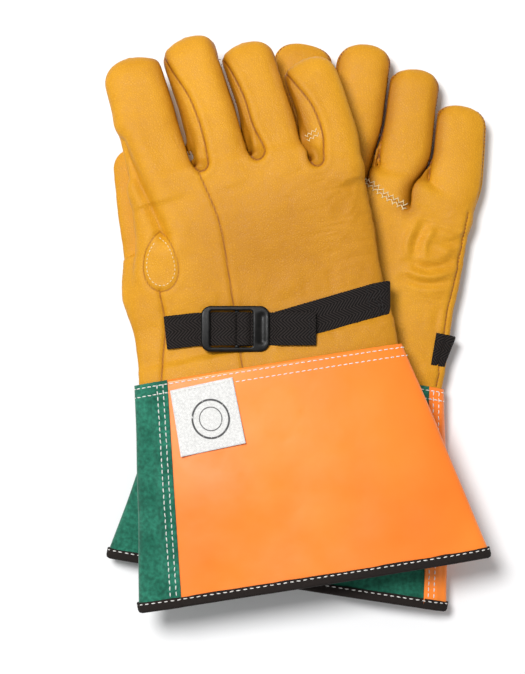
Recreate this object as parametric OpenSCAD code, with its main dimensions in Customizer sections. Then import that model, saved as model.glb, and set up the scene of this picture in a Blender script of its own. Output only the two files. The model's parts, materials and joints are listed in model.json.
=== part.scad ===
// A pair of leather protector gauntlets for electrical work: the left glove lies palm up on its
// back, and the right glove lies palm down across it. Millimetres, +Z up. The origin is on the
// resting plane, under the middle of the left cuff's mouth.

/* [Cuff] */
// Length of the flared cuff from its mouth to its top seam
cuff_len = 140; // [120:1:160]
// Half the width of the cuff's mouth when it lies flat
mouth_half_w = 112.2; // [105:0.2:116]
// Half the width of the cuff at its top seam
throat_half_w = 86.5; // [85:0.5:92]
// Half the height of the cuff's mouth as it lies
mouth_half_h = 12.2; // [11:0.2:14]
// Height of the edge binding along the cuff
binding_h = 6; // [4:0.5:8]
// Width of the palm panel's strip that wraps onto the back of the cuff
wrap_w = 24; // [18:1:30]
// Width of the back panel's strip that wraps onto the palm of the cuff
turn_w = 15; // [10:1:20]

/* [Leather and cloth] */
// Thickness of the glove leather
leather_t = 1.6; // [1.2:0.1:2]
// Thickness of the coated cuff cloth and of the cuff suede
cuff_t = 1.4; // [1:0.1:1.8]
// Thickness of the binding tape
tape_t = 0.8; // [0.5:0.1:1]
// Diameter of the sewing thread
thread_d = 0.8; // [0.5:0.1:1]

/* [Strap and buckle] */
// Width of the wrist strap
strap_w = 21; // [18:0.5:24]
// Thickness of the strap webbing
web_t = 1.4; // [1:0.1:1.8]
// Length of the buckle along the strap
buckle_l = 43; // [40:1:46]
// Width of the buckle across the strap
buckle_w = 29; // [27:1:31]
// Thickness of the buckle frame
buckle_t = 3.2; // [2.6:0.2:3.4]
// Length of the free strap end past the buckle
tail_l = 38; // [30:1:45]

/* [Label] */
// Width of the cloth label on the cuff
label_w = 40; // [34:1:42]
// Height of the cloth label
label_h = 42; // [36:1:44]

/* [Pair] */
// Turn of the right glove on the resting plane, seen from above
right_yaw = 12; // [11:1:13]
// Turn of the left glove on the resting plane, seen from above
left_yaw = -10; // [-11:1:-9]
// Slant of the right cuff's seams against its hand
right_slant = 3; // [0:0.5:4]
// Slant of the left cuff's seams against its hand
left_slant = -1; // [-2:0.5:2]
// Height of the right glove's middle plane
right_z = 41; // [41:0.5:60]

/* [Hidden] */
SIDES = ["right", "left"];
PIECES = [
    "back_panel", "index_side_panel", "palm_panel", "thumb_gusset",
    "index_back", "index_front", "index_fourchette",
    "middle_back", "middle_front", "middle_fourchettes",
    "ring_back", "ring_front", "ring_fourchettes",
    "little_back", "little_front", "little_fourchette",
    "thumb_back", "thumb_front",
    "cuff_back_panel", "cuff_palm_panel", "cuff_binding", "cuff_thread", "binding_thread", "label",
    "strap_anchor", "strap", "strap_tail", "strap_thread", "buckle"];

leather = "goldenrod";
suede = "seagreen";
vinyl = "darkorange";
webbing = [0.1, 0.1, 0.11];
cloth = "white";

ring_steps = 20;
// Longer than any part of a glove, for cutting right through it.
cut = 400;
past = 3;
// The least space between two pieces that touch.
gap = 0.3;
sliver = 0.2;

// A station of a sleeve is [y, x_mid, half_width, z_mid, half_height].
cuff_power = 0.8;
throat_z = 0.75;
cuff_split_z = throat_z / 2;
cuff_stations = [
    [0, 0, mouth_half_w, 0, mouth_half_h],
    [cuff_len, -1, throat_half_w, throat_z, mouth_half_h - 0.5]];

hand_power = 0.5;
knuckle_y = 266;
little_step = 12;
back_seam_x = -14;
hand_stations = [
    [cuff_len - 12, 0, 74, -0.5, 5.5],
    [cuff_len + 12, -0.5, 82, -1.2, 6.8],
    [cuff_len + 40, 1, 80, -1, 6.9],
    [cuff_len + 68, 5, 77, 0, 9.5],
    [cuff_len + 95, 8.5, 74.5, 1, 11.3],
    [knuckle_y, 10, 74, 1.2, 11.3]];

// A finger is [name, x, y, lean, half width at its base, middle and tip, length].
finger_power = 0.7;
finger_z = 2;
finger_half_h = 10;
finger_table = [
    ["index", -41.5, knuckle_y, 3.8, 22.5, 18, 17.2, 84],
    ["middle", 0, knuckle_y, 6, 16.8, 17.2, 17.2, 89],
    ["ring", 35.5, knuckle_y, 7, 16, 16.6, 16.6, 78],
    ["little", 70.5, knuckle_y - little_step, 6, 14.2, 15.8, 15.6, 73]];
// How far each of the left glove's fingers lies over towards the little finger.
left_spread = [3, 4, 4, 2];
tip_len = 20;
// The rounding of a fingertip: [share of tip_len, share of the width, share of the height].
tip_steps = [[0.65, 0.78, 0.75], [1, 0.35, 0.35]];
// The strips' share of a finger's height, and their distance from its middle line.
strip_share = 0.8;
strip_in = 2;

thumb_root = [-59, 190];
thumb_clearance = 0.8;
thumb_lean = -5.2;
thumb_pivot = [-50, 192];
thumb_swing = 20;
thumb_stations = [
    [0, 0, 18.5, -9.5, 5.5],
    [35, 0, 19.3, -12, 4.6],
    [72, 0, 18, -13, 4],
    [96, 0, 14, -13, 3.6],
    [108, 0, 6, -13, 2.2]];

// The drop-shaped thumb gusset: its round end, its point and its thickness.
drop_at = [-54.5, 212];
drop_r = 9;
drop_tip = [-50, 235];
drop_tip_r = 1.5;
gusset_t = 1.2;

// The strap: where it is sewn down at each side, and its box of stitches.
strap_y = 166.5;
strap_end_x = 80;
anchor_x = -60;
anchor_y = strap_y + 7;
box_l = 7;
box_w = strap_w - 4;

// The buckle: its place, its bars along its own X axis, and the window they cross.
buckle_at = [-16.5, strap_y];
buckle_turn = -12;
buckle_corner = 4;
bar = 4;
arm = 3.5;
window_w = buckle_w - 2 * arm;
anchor_bar_x = -buckle_l / 2 + bar / 2;
middle_bar_x = 1;
lock_bar_x = buckle_l / 2 - 6;
riser_x = lock_bar_x - bar / 2 - web_t - 0.8;
tail_fall = 6;
wrist_top = hand_stations[1][3] + hand_stations[1][4];
bar_z = wrist_top + web_t + 2 * gap;

label_at = [-44.5, 137];
label_t = 0.6;

// Stitch rows: two under the cuff's top edge, and two along the edge of the palm panel's strip.
top_row_in = 2;
top_row_gap = 5.7;
strip_row_in = 3.2;
strip_row_gap = 3.7;
strip_rows_end = cuff_len - 9;
binding_row_in = 1.2;

// How much of its half height a sleeve keeps at the flat facet along its top and bottom.
function flat_part(power) = pow(cos(180 / ring_steps), power);
left_z = (mouth_half_h + tape_t) * flat_part(cuff_power);
rest_y = (binding_h - tape_t) / 2;
left_at = [rest_y * sin(left_yaw), -rest_y * cos(left_yaw), left_z];
// How far along X and Y the right glove lies from the left one, mouth to mouth.
right_shift = [23.6, 2.4];
right_at = [left_at[0] + right_shift[0], left_at[1] + right_shift[1], right_z];

function squared(v, power) = sign(v) * pow(abs(v), power);

function ring(s, power, grow, slant) = [
    for (i = [0 : ring_steps - 1])
        let (a = (i + 0.5) * 360 / ring_steps)
        let (x = s[1] + (s[2] + grow) * squared(cos(a), power))
        [x, s[0] - x * tan(slant), s[3] + (s[4] + grow) * squared(sin(a), power)]];

// A closed solid through a row of rings, each of ring_steps points.
module loft(rings) {
    n = ring_steps;
    last = len(rings) - 1;
    sides = [
        for (k = [0 : last - 1])
            for (i = [0 : n - 1])
                let (a = k * n + i, b = k * n + (i + 1) % n)
                each [[a, b, b + n], [a, b + n, a + n]]];
    first_cap = [for (i = [n - 1 : -1 : 0]) i];
    last_cap = [for (i = [0 : n - 1]) last * n + i];
    polyhedron([for (r = rings) each r], concat(sides, [first_cap, last_cap]));
}

module sleeve(stations, power, grow = 0, slant = 0) {
    loft([for (s = stations) ring(s, power, grow, slant)]);
}

// Moves the first station back and the last one on by a length, so that a cut goes right through.
function longer(stations, by) = [
    for (i = [0 : len(stations) - 1])
        let (s = stations[i])
        [s[0] + (i == 0 ? -by : 0) + (i == len(stations) - 1 ? by : 0), s[1], s[2], s[3], s[4]]];

// ---- cuff ----

// A cuff surface moved out by grow: a straight cone that runs past both of the cuff's ends.
module cuff_form(grow, slant) {
    stations = [
        for (y = [-past, cuff_len + past])
            let (part = y / cuff_len)
            [y, for (k = [1 : 4]) cuff_stations[0][k] + part * (cuff_stations[1][k] - cuff_stations[0][k])]];
    sleeve(stations, cuff_power, grow, slant);
}

// The layer between two of those surfaces, from one distance past the mouth to another.
module cuff_layer(inner, outer, from, to, slant) {
    difference() {
        intersection() {
            cuff_form(outer, slant);
            cuff_band(from, to, slant);
        }
        cuff_form(inner, slant);
    }
}

// A band across the glove between two distances from the mouth, sheared like the cuff.
module cuff_band(from, to, slant) {
    rise = cut * tan(slant);
    translate([0, 0, -cut / 2])
        linear_extrude(cut)
            polygon([[-cut, from + rise], [cut, from - rise], [cut, to - rise], [-cut, to + rise]]);
}

// A strip along a side edge of the cuff, between two distances in from it, on one face.
module edge_strip(side, from, to, face) {
    x0 = mouth_half_w;
    x1 = throat_half_w;
    over = 20;
    translate([0, 0, face > 0 ? cuff_split_z : cuff_split_z - cut])
        linear_extrude(cut)
            polygon([
                [side * (x0 - from), -over], [side * (x0 - to), -over],
                [side * (x1 - to), cuff_len + over], [side * (x1 - from), cuff_len + over]]);
}

module cuff_back_region() {
    difference() {
        translate([-cut / 2, -cut / 2, cuff_split_z])
            cube(cut);
        edge_strip(-1, -wrap_w, wrap_w, 1);
    }
    edge_strip(1, -turn_w, turn_w, -1);
}

module cuff_back_panel(slant) {
    color(vinyl)
        intersection() {
            cuff_layer(-cuff_t, 0, 0, cuff_len, slant);
            cuff_back_region();
        }
}

module cuff_palm_panel(slant) {
    color(suede)
        difference() {
            cuff_layer(-cuff_t, 0, 0, cuff_len, slant);
            cuff_back_region();
        }
}

// The tape folded round the cuff's edge, with a groove that its stitches lie in.
module cuff_binding(slant) {
    color("saddlebrown")
        difference() {
            cuff_layer(-cuff_t - tape_t, tape_t, -tape_t, binding_h, slant);
            cuff_layer(-cuff_t, 0, 0, cuff_len, slant);
            binding_stitches(slant);
        }
}

module binding_stitches(slant) {
    row_y = binding_h - binding_row_in;
    cuff_layer(tape_t - thread_d / 2, tape_t, row_y - thread_d, row_y, slant);
}

module binding_thread(slant) {
    color(cloth)
        binding_stitches(slant);
}

module cuff_thread(slant) {
    row_h = thread_d / 2;
    color(cloth)
        for (k = [0 : 1]) {
            top = cuff_len - top_row_in - k * top_row_gap;
            in = wrap_w - strip_row_in - k * strip_row_gap;
            cuff_layer(0, row_h, top - thread_d, top, slant);
            intersection() {
                cuff_layer(0, row_h, binding_h + 1, strip_rows_end, slant);
                edge_strip(-1, in - thread_d, in, 1);
            }
        }
}

module label(slant) {
    low = thread_d / 2 + gap;
    color(cloth)
        intersection() {
            cuff_layer(low, low + label_t, 0, cuff_len, slant);
            translate([label_at[0] - label_w / 2, label_at[1] - label_h, 0])
                cube([label_w, label_h, cut]);
        }
}

// ---- hand ----

module hand_form(grow, by = 0) {
    sleeve(longer(hand_stations, by), hand_power, grow);
}

// Room for the thumb through the whole of its swing.
module thumb_room() {
    for (turn = [0 : thumb_swing / 2 : thumb_swing])
        translate([thumb_pivot[0], thumb_pivot[1], 0])
            rotate([0, 0, turn])
                translate([-thumb_pivot[0], -thumb_pivot[1], 0])
                    thumb_place()
                        sleeve(longer(thumb_stations, thumb_clearance), finger_power, thumb_clearance);
}

module hand_skin(inner, outer) {
    difference() {
        hand_form(outer);
        hand_form(inner, 1);
        // the hand is shorter at the little finger
        translate([
            (finger_table[2][1] + finger_table[3][1] - 1) / 2, knuckle_y - little_step - gap, -cut / 2])
            cube(cut);
    }
}

// The back of the hand, sewn from two pieces along a seam that runs down from the index finger.
module back_panel() {
    color(leather)
        intersection() {
            hand_skin(-leather_t, 0);
            translate([back_seam_x, 0, 0])
                cube(cut);
        }
}

module index_side_panel() {
    color(leather)
        intersection() {
            hand_skin(-leather_t, 0);
            translate([back_seam_x - cut, 0, 0])
                cube(cut);
        }
}

module palm_panel() {
    color(leather)
        difference() {
            hand_skin(-leather_t, 0);
            translate([-cut / 2, 0, 0])
                cube(cut);
            thumb_room();
        }
}

// The drop-shaped end of the thumb piece, sewn onto the back of the hand.
module thumb_gusset() {
    color(leather)
        intersection() {
            difference() {
                hand_form(gusset_t);
                hand_form(0, past);
            }
            linear_extrude(cut)
                hull() {
                    translate(drop_at)
                        circle(drop_r, $fn = 24);
                    translate(drop_tip)
                        circle(drop_tip_r, $fn = 24);
                }
        }
}

// ---- fingers ----

function finger_stations(f) =
    let (tip_start = f[7] - tip_len)
    [
        [0, 0, f[4], finger_z, finger_half_h],
        [tip_start / 2, 0, f[5], finger_z, finger_half_h],
        [tip_start, 0, f[6], finger_z, finger_half_h - 0.5],
        for (t = tip_steps) [tip_start + tip_len * t[0], 0, f[6] * t[1], finger_z, finger_half_h * t[2]]];

// The wall of a finger or thumb: open at its root and closed at its tip.
function inner_stations(stations) =
    let (last = len(stations) - 1)
    [
        for (i = [0 : last])
            let (s = stations[i])
            [s[0] + (i == 0 ? -1 : 0) - (i == last ? leather_t : 0), s[1], s[2], s[3], s[4]]];

module digit_skin(stations) {
    difference() {
        sleeve(stations, finger_power);
        sleeve(inner_stations(stations), finger_power, -leather_t);
    }
}

// The finger starts clear of the hand, although its lean turns one corner of its base back.
module finger_place(f) {
    translate([f[1], f[2] + gap + f[4] * sin(f[3]), 0])
        rotate([0, 0, f[3]])
            children();
}

// The strips between the back and the front of a finger, on the sides given in faces.
module fourchette_room(f, faces) {
    strip_h = finger_half_h * strip_share;
    for (side = faces)
        translate([side > 0 ? strip_in : -cut - strip_in, -1, finger_z - strip_h / 2])
            cube([cut, f[7] - tip_len / 2, strip_h]);
}

module finger_back(f, faces) {
    color(leather)
        finger_place(f)
            difference() {
                digit_skin(finger_stations(f));
                fourchette_room(f, faces);
                translate([-cut / 2, -cut / 2, finger_z - cut])
                    cube(cut);
            }
}

module finger_front(f, faces) {
    color(leather)
        finger_place(f)
            difference() {
                digit_skin(finger_stations(f));
                fourchette_room(f, faces);
                translate([-cut / 2, -cut / 2, finger_z])
                    cube(cut);
            }
}

module finger_fourchette(f, faces) {
    color(leather)
        finger_place(f)
            intersection() {
                digit_skin(finger_stations(f));
                fourchette_room(f, faces);
            }
}

// ---- thumb ----

module thumb_place() {
    translate([thumb_root[0], thumb_root[1], 0])
        rotate([0, 0, thumb_lean])
            children();
}

module thumb_skin() {
    thumb_place()
        digit_skin(thumb_stations);
}

// Everything above the thumb's middle surface, which falls away from the hand.
module above_thumb() {
    first = thumb_stations[0];
    last = thumb_stations[len(thumb_stations) - 1];
    end_y = last[0] + past;
    thumb_place()
        translate([-cut / 2, 0, 0])
            rotate([90, 0, 90])
                linear_extrude(cut)
                    polygon([
                        [-past, first[3]],
                        for (s = thumb_stations) [s[0], s[3]],
                        [end_y, last[3]], [end_y, cut], [-past, cut]]);
}

module thumb_back() {
    color(leather)
        intersection() {
            thumb_skin();
            above_thumb();
        }
}

module thumb_front() {
    color(leather)
        difference() {
            thumb_skin();
            above_thumb();
        }
}

// ---- strap and buckle ----

// A layer of webbing on the wrist, between two heights above the leather.
module wrist_layer(low, high) {
    intersection() {
        difference() {
            hand_form(high);
            hand_form(low, past);
        }
        linear_extrude(cut)
            children();
    }
}

module buckle_place(z = 0) {
    translate([buckle_at[0], buckle_at[1], z])
        rotate([0, 0, buckle_turn])
            children();
}

// The buckle: a ladder frame whose round anchor bar turns in the loop of the short webbing.
module buckle() {
    corner = buckle_corner;
    windows = [
        [-buckle_l, middle_bar_x - bar / 2],
        [middle_bar_x + bar / 2, lock_bar_x - bar / 2]];
    color(webbing)
        buckle_place(bar_z) {
            difference() {
                linear_extrude(buckle_t)
                    offset(corner)
                        square([buckle_l - 2 * corner, buckle_w - 2 * corner], center = true);
                for (w = windows)
                    translate([w[0], -window_w / 2, -1])
                        cube([w[1] - w[0], window_w, buckle_t + 2]);
            }
            translate([anchor_bar_x, 0, buckle_t / 2])
                rotate([90, 0, 0])
                    cylinder(h = window_w + 2, d = buckle_t, center = true, $fn = 32);
        }
}

module strap_anchor() {
    loop_x = anchor_bar_x + bar / 2 + gap;
    color(webbing) {
        // the part sewn to the glove
        wrist_layer(gap, gap + web_t)
            hull() {
                translate([anchor_x, anchor_y])
                    square([sliver, strap_w], center = true);
                translate(buckle_at)
                    rotate(buckle_turn)
                        translate([loop_x + web_t - sliver / 2, 0])
                            square([sliver, strap_w], center = true);
            }
        // the turn up through the window and back over the bar
        buckle_place(bar_z - gap - sliver)
            translate([loop_x, -strap_w / 2, 0])
                cube([web_t, strap_w, buckle_t + web_t + 2 * gap + sliver]);
        buckle_place(bar_z + buckle_t + gap)
            translate([anchor_bar_x - bar / 2, -strap_w / 2, 0])
                cube([bar + gap + web_t, strap_w, web_t]);
    }
}

module strap() {
    color(webbing) {
        wrist_layer(gap, gap + web_t)
            hull() {
                translate([strap_end_x, strap_y])
                    square([sliver, strap_w], center = true);
                translate(buckle_at)
                    rotate(buckle_turn)
                        translate([riser_x + sliver / 2, 0])
                            square([sliver, strap_w], center = true);
            }
        buckle_place(bar_z - gap - sliver)
            translate([riser_x, -strap_w / 2, 0])
                cube([web_t, strap_w, buckle_t + gap + sliver]);
    }
}

// The free end: over the end bar, down past it and along the strap below.
module strap_tail() {
    over_z = buckle_t + gap;
    fall_x = buckle_l / 2 + gap;
    bend = 0.5;
    end_x = riser_x + web_t + tail_l;
    color(webbing)
        buckle_place(bar_z)
            translate([0, strap_w / 2, 0])
                rotate([90, 0, 0])
                    linear_extrude(strap_w)
                        polygon([
                            [riser_x, over_z], [fall_x, over_z], [fall_x + tail_fall, gap],
                            [end_x, gap], [end_x, gap + web_t], [fall_x + tail_fall + bend, gap + web_t],
                            [fall_x + bend, over_z + web_t], [riser_x, over_z + web_t]]);
}

module stitch_box() {
    difference() {
        square([box_l, box_w], center = true);
        square([box_l - 2 * thread_d, box_w - 2 * thread_d], center = true);
    }
}

module strap_thread() {
    color([0.2, 0.2, 0.2])
        wrist_layer(gap + web_t, gap + web_t + thread_d / 2) {
            translate([anchor_x + 5, anchor_y - 0.7])
                rotate(buckle_turn)
                    stitch_box();
            translate([strap_end_x - 10, strap_y])
                stitch_box();
        }
}

// ---- the pair ----

module place(side) {
    if (side == "right")
        translate(right_at)
            rotate([0, 0, right_yaw])
                children();
    else
        translate(left_at)
            rotate([0, 0, left_yaw])
                mirror([0, 0, 1])
                    children();
}

// A finger with its lean lessened by a spread.
function spread(f, by) = [f[0], f[1], f[2], f[3] - by, f[4], f[5], f[6], f[7]];

module digit(side, piece) {
    faces = [[1], [-1, 1], [-1, 1], [-1]];
    for (k = [0 : 3]) {
        f = spread(finger_table[k], side == "left" ? left_spread[k] : 0);
        if (piece == str(f[0], "_back")) finger_back(f, faces[k]);
        if (piece == str(f[0], "_front")) finger_front(f, faces[k]);
        if (piece == str(f[0], len(faces[k]) == 1 ? "_fourchette" : "_fourchettes"))
            finger_fourchette(f, faces[k]);
    }
}

// One glove's piece by name.
module glove_piece(side, piece) {
    slant = side == "right" ? right_slant : left_slant;
    digit(side, piece);
    if (piece == "back_panel") back_panel();
    if (piece == "index_side_panel") index_side_panel();
    if (piece == "palm_panel") palm_panel();
    if (piece == "thumb_gusset") thumb_gusset();
    if (piece == "thumb_back") thumb_back();
    if (piece == "thumb_front") thumb_front();
    if (piece == "cuff_back_panel") cuff_back_panel(slant);
    if (piece == "cuff_palm_panel") cuff_palm_panel(slant);
    if (piece == "cuff_binding") cuff_binding(slant);
    if (piece == "cuff_thread") cuff_thread(slant);
    if (piece == "binding_thread") binding_thread(slant);
    if (piece == "label") label(slant);
    if (piece == "strap_anchor") strap_anchor();
    if (piece == "strap") strap();
    if (piece == "strap_tail") strap_tail();
    if (piece == "strap_thread") strap_thread();
    if (piece == "buckle") buckle();
}

for (side = SIDES)
    for (piece = PIECES)
        place(side)
                glove_piece(side, piece);
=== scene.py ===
"""A pair of leather protector gauntlets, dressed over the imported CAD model.

Everything is laid out in millimetres in a glove's own frame: x runs to the little finger, y to the
fingertips and z out of the back of the hand. Glove.world turns that into metres in the row frame.
"""
import itertools
import json
import math

import bpy
import numpy as np
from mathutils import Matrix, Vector
from mathutils.bvhtree import BVHTree


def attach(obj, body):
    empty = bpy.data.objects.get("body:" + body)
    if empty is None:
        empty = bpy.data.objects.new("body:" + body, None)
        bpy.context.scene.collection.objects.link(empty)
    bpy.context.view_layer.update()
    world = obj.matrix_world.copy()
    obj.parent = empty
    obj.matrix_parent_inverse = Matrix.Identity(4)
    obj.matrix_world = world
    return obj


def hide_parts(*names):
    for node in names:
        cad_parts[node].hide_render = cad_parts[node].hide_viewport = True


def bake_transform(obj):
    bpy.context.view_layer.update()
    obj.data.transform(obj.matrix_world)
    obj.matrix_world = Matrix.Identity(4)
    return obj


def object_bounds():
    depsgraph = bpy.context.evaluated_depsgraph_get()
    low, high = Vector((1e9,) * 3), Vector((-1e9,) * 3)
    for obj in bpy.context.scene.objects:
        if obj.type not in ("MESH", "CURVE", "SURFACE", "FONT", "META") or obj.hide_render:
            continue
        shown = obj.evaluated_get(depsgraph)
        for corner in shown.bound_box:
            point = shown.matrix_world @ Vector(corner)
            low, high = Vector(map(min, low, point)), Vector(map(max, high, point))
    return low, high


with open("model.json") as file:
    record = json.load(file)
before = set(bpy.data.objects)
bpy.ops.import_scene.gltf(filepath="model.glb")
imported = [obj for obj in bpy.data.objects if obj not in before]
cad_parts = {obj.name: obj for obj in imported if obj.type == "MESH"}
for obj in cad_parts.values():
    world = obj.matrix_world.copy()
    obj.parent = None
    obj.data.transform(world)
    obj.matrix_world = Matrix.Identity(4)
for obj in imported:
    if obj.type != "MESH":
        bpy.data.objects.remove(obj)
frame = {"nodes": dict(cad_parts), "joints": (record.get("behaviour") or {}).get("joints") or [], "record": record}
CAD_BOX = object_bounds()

MM = 0.001
STEP = 0.9
RECORD = frame["record"]
MOUNTS = {m["name"]: m for m in RECORD["mounts"]}
JOINTS = {j["name"]: j for j in frame["joints"]}
FINGERS = ("index", "middle", "ring", "little")


# ---------------------------------------------------------------- the glove's own frame

class Digit:
    """A finger or thumb: u runs across it and v along it, from the knuckle."""

    def __init__(self, glove, name, joint, nodes):
        self.name = name
        self.joint = joint
        self.body = joint["child"]
        self.root = glove.local(np.array([joint["pos_m"]]))[0][:2]
        axis = np.array(joint["axis"])
        cloud = np.vstack([glove.node_points(n) for n in nodes])
        if joint["axis"][2] == 0:
            self.lean = math.atan2(axis @ glove.along, axis @ glove.across)
        else:
            ends = []
            for y in (cloud[:, 1].min(), cloud[:, 1].max()):
                band = cloud[np.abs(cloud[:, 1] - y) < 14]
                ends.append(np.array([(band[:, 0].min() + band[:, 0].max()) / 2, y]))
            self.root = ends[0]
            self.lean = math.atan2(self.root[0] - ends[1][0], ends[1][1] - self.root[1])
        u, v = self.coords(cloud[:, 0], cloud[:, 1])
        self.length = v.max()
        near = v < v.min() + 5
        middle = (v > 0.3 * self.length) & (v < 0.75 * self.length)
        self.base_w = np.abs(u[near]).max()
        self.full_w = np.abs(u[middle]).max()
        self.z_mid = (cloud[middle, 2].max() + cloud[middle, 2].min()) / 2
        self.half_h = (cloud[middle, 2].max() - cloud[middle, 2].min()) / 2

    def coords(self, x, y):
        dx, dy = x - self.root[0], y - self.root[1]
        c, s = math.cos(self.lean), math.sin(self.lean)
        return dx * c + dy * s, dy * c - dx * s

    def plan(self, u, v):
        c, s = math.cos(self.lean), math.sin(self.lean)
        return np.stack([self.root[0] + u * c - v * s, self.root[1] + u * s + v * c], -1)

    def half_w(self, v):
        """Half width at v. The leather is a little fuller than the CAD core, so that fingers touch."""
        core = np.interp(v, [0, 0.42 * self.length, self.length], [self.base_w, self.full_w, self.full_w])
        return core + FULLER * smooth(v / 26) - ROOT_TAPER * np.maximum(-v, 0)


class Glove:
    """One glove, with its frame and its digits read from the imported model."""

    def __init__(self, side):
        mount = MOUNTS[side + "_cuff_mouth"]
        out = np.array(mount["axis"])
        self.side = side
        self.hand = side + "_hand"
        self.flip = 1.0 if side == "right" else -1.0
        self.origin = np.array(mount["pos_m"])
        self.along = -out
        self.across = np.array([-out[1], out[0], 0.0])
        self.basis = np.array([self.across, self.along, [0, 0, self.flip]])
        bend = "raise" if side == "right" else "curl"
        self.fingers = [
            Digit(self, f, JOINTS[f"{side}_{f}_{bend}"], [f"{side}_{f}_back", f"{side}_{f}_front"])
            for f in FINGERS]
        self.thumb = Digit(self, "thumb", JOINTS[side + "_thumb_swing"],
                           [f"{side}_thumb_back", f"{side}_thumb_front"])
        self.read_cuff()
        self.seed = 11 if side == "right" else 47

    def local(self, points):
        return (points - self.origin) @ self.basis.T / MM

    def world(self, points):
        return np.asarray(points) @ self.basis * MM + self.origin

    def node_points(self, node):
        mesh = frame["nodes"][node].data
        flat = np.empty(len(mesh.vertices) * 3)
        mesh.vertices.foreach_get("co", flat)
        return self.local(flat.reshape(-1, 3))

    def node(self, name):
        return f"{self.side}_{name}"

    def read_cuff(self):
        """The cuff's two end sections and the slant of its edges, from its CAD panels."""
        cloud = np.vstack([self.node_points(self.node(n)) for n in ("cuff_back_panel", "cuff_palm_panel")])
        low, high = cloud[cloud[:, 0].argmin()], cloud[cloud[:, 0].argmax()]
        self.slope = (high[1] - low[1]) / (high[0] - low[0])
        level = cloud[:, 1] - self.slope * cloud[:, 0]
        self.cuff_len = level.max()
        self.cuff_ends = []
        for at in (0, self.cuff_len):
            ring = cloud[np.abs(level - at) < 0.5]
            self.cuff_ends.append([
                (ring[:, 0].max() + ring[:, 0].min()) / 2, (ring[:, 0].max() - ring[:, 0].min()) / 2,
                (ring[:, 2].max() + ring[:, 2].min()) / 2, (ring[:, 2].max() - ring[:, 2].min()) / 2])


# ---------------------------------------------------------------- mesh tools

def value_noise(points, cell, seed):
    """Smooth random values from -1 to 1 at the points; cell is the patch size in millimetres."""
    size = 32
    lattice = np.random.default_rng(seed).uniform(-1, 1, (size, size, size))
    p = points / cell + 100.0
    base = np.floor(p).astype(int)
    f = p - base
    f = f * f * (3 - 2 * f)
    total = np.zeros(len(points))
    for corner in itertools.product((0, 1), repeat=3):
        weight = np.ones(len(points))
        for k in range(3):
            weight = weight * (f[:, k] if corner[k] else 1 - f[:, k])
        i = (base + corner) % size
        total += lattice[i[:, 0], i[:, 1], i[:, 2]] * weight
    return total


def soft_min(a, b, k):
    h = np.clip(0.5 + 0.5 * (b - a) / k, 0, 1)
    return b * (1 - h) + a * h - k * h * (1 - h)


def soft_max(a, b, k):
    return -soft_min(-a, -b, k)


def smooth(x):
    x = np.clip(x, 0, 1)
    return x * x * (3 - 2 * x)


def surface_net(field, low, step):
    """Vertices and quads of the surface where the field turns from negative (inside) to positive."""
    inside = field < 0
    shape = np.array(field.shape) - 1
    offsets = np.array(list(itertools.product((0, 1), repeat=3)))
    corner = [inside[o[0]:o[0] + shape[0], o[1]:o[1] + shape[1], o[2]:o[2] + shape[2]] for o in offsets]
    count = np.sum(corner, axis=0)
    cells = np.argwhere((count > 0) & (count < 8))
    values = np.stack([field[tuple((cells + o).T)] for o in offsets], 1)
    total = np.zeros((len(cells), 3))
    hits = np.zeros(len(cells))
    for i, j in itertools.combinations(range(8), 2):
        if np.abs(offsets[i] - offsets[j]).sum() != 1:
            continue
        a, b = values[:, i], values[:, j]
        cross = (a < 0) != (b < 0)
        t = np.where(cross, a / np.where(cross, a - b, 1), 0)[:, None]
        total += np.where(cross[:, None], offsets[i] + t * (offsets[j] - offsets[i]), 0)
        hits += cross
    verts = low + (cells + total / hits[:, None]) * step
    index = np.full(shape, -1)
    index[tuple(cells.T)] = np.arange(len(cells))
    quads = []
    for axis in range(3):
        lower = [slice(1, -1)] * 3
        upper = [slice(1, -1)] * 3
        lower[axis], upper[axis] = slice(0, -1), slice(1, None)
        a, b = inside[tuple(lower)], inside[tuple(upper)]
        others = [k for k in range(3) if k != axis]
        for turn in (False, True):
            at = np.argwhere((a & ~b) if turn else (~a & b))
            for k in others:
                at[:, k] += 1
            ring = []
            for p, q in ((1, 1), (0, 1), (0, 0), (1, 0)):
                c = at.copy()
                c[:, others[0]] -= p
                c[:, others[1]] -= q
                ring.append(index[tuple(c.T)])
            ring = np.stack(ring, 1)
            flipped = turn == (axis == 1)
            quads.append(ring[:, ::-1] if flipped else ring)
    quads = np.vstack(quads)
    return verts, quads[(quads >= 0).all(1)]


def edges_of(faces):
    return np.vstack([faces[:, [k, (k + 1) % faces.shape[1]]] for k in range(faces.shape[1])])


def relax(verts, faces, rounds, strength=0.5):
    """Moves each vertex towards the middle of its neighbours."""
    e = edges_of(faces)
    n = len(verts)
    degree = np.bincount(e[:, 0], minlength=n) + np.bincount(e[:, 1], minlength=n)
    for _ in range(rounds):
        mean = np.empty_like(verts)
        for k in range(3):
            mean[:, k] = (np.bincount(e[:, 0], verts[e[:, 1], k], n) + np.bincount(e[:, 1], verts[e[:, 0], k], n))
        verts = verts + strength * (mean / degree[:, None] - verts)
    return verts


def vertex_normals(verts, faces):
    cross = np.cross(verts[faces[:, 2]] - verts[faces[:, 0]], verts[faces[:, -1]] - verts[faces[:, 1]])
    out = np.empty_like(verts)
    for k in range(3):
        out[:, k] = sum(np.bincount(faces[:, c], cross[:, k], len(verts)) for c in range(faces.shape[1]))
    return out / np.maximum(np.linalg.norm(out, axis=1), 1e-9)[:, None]


def part_of(verts, faces, keep, *extra):
    """The kept faces with only their own vertices, and the same rows of each extra array."""
    faces = faces[keep]
    used = np.unique(faces)
    renumber = np.full(len(verts), -1)
    renumber[used] = np.arange(len(used))
    return [verts[used], renumber[faces]] + [a[used] for a in extra]


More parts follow.
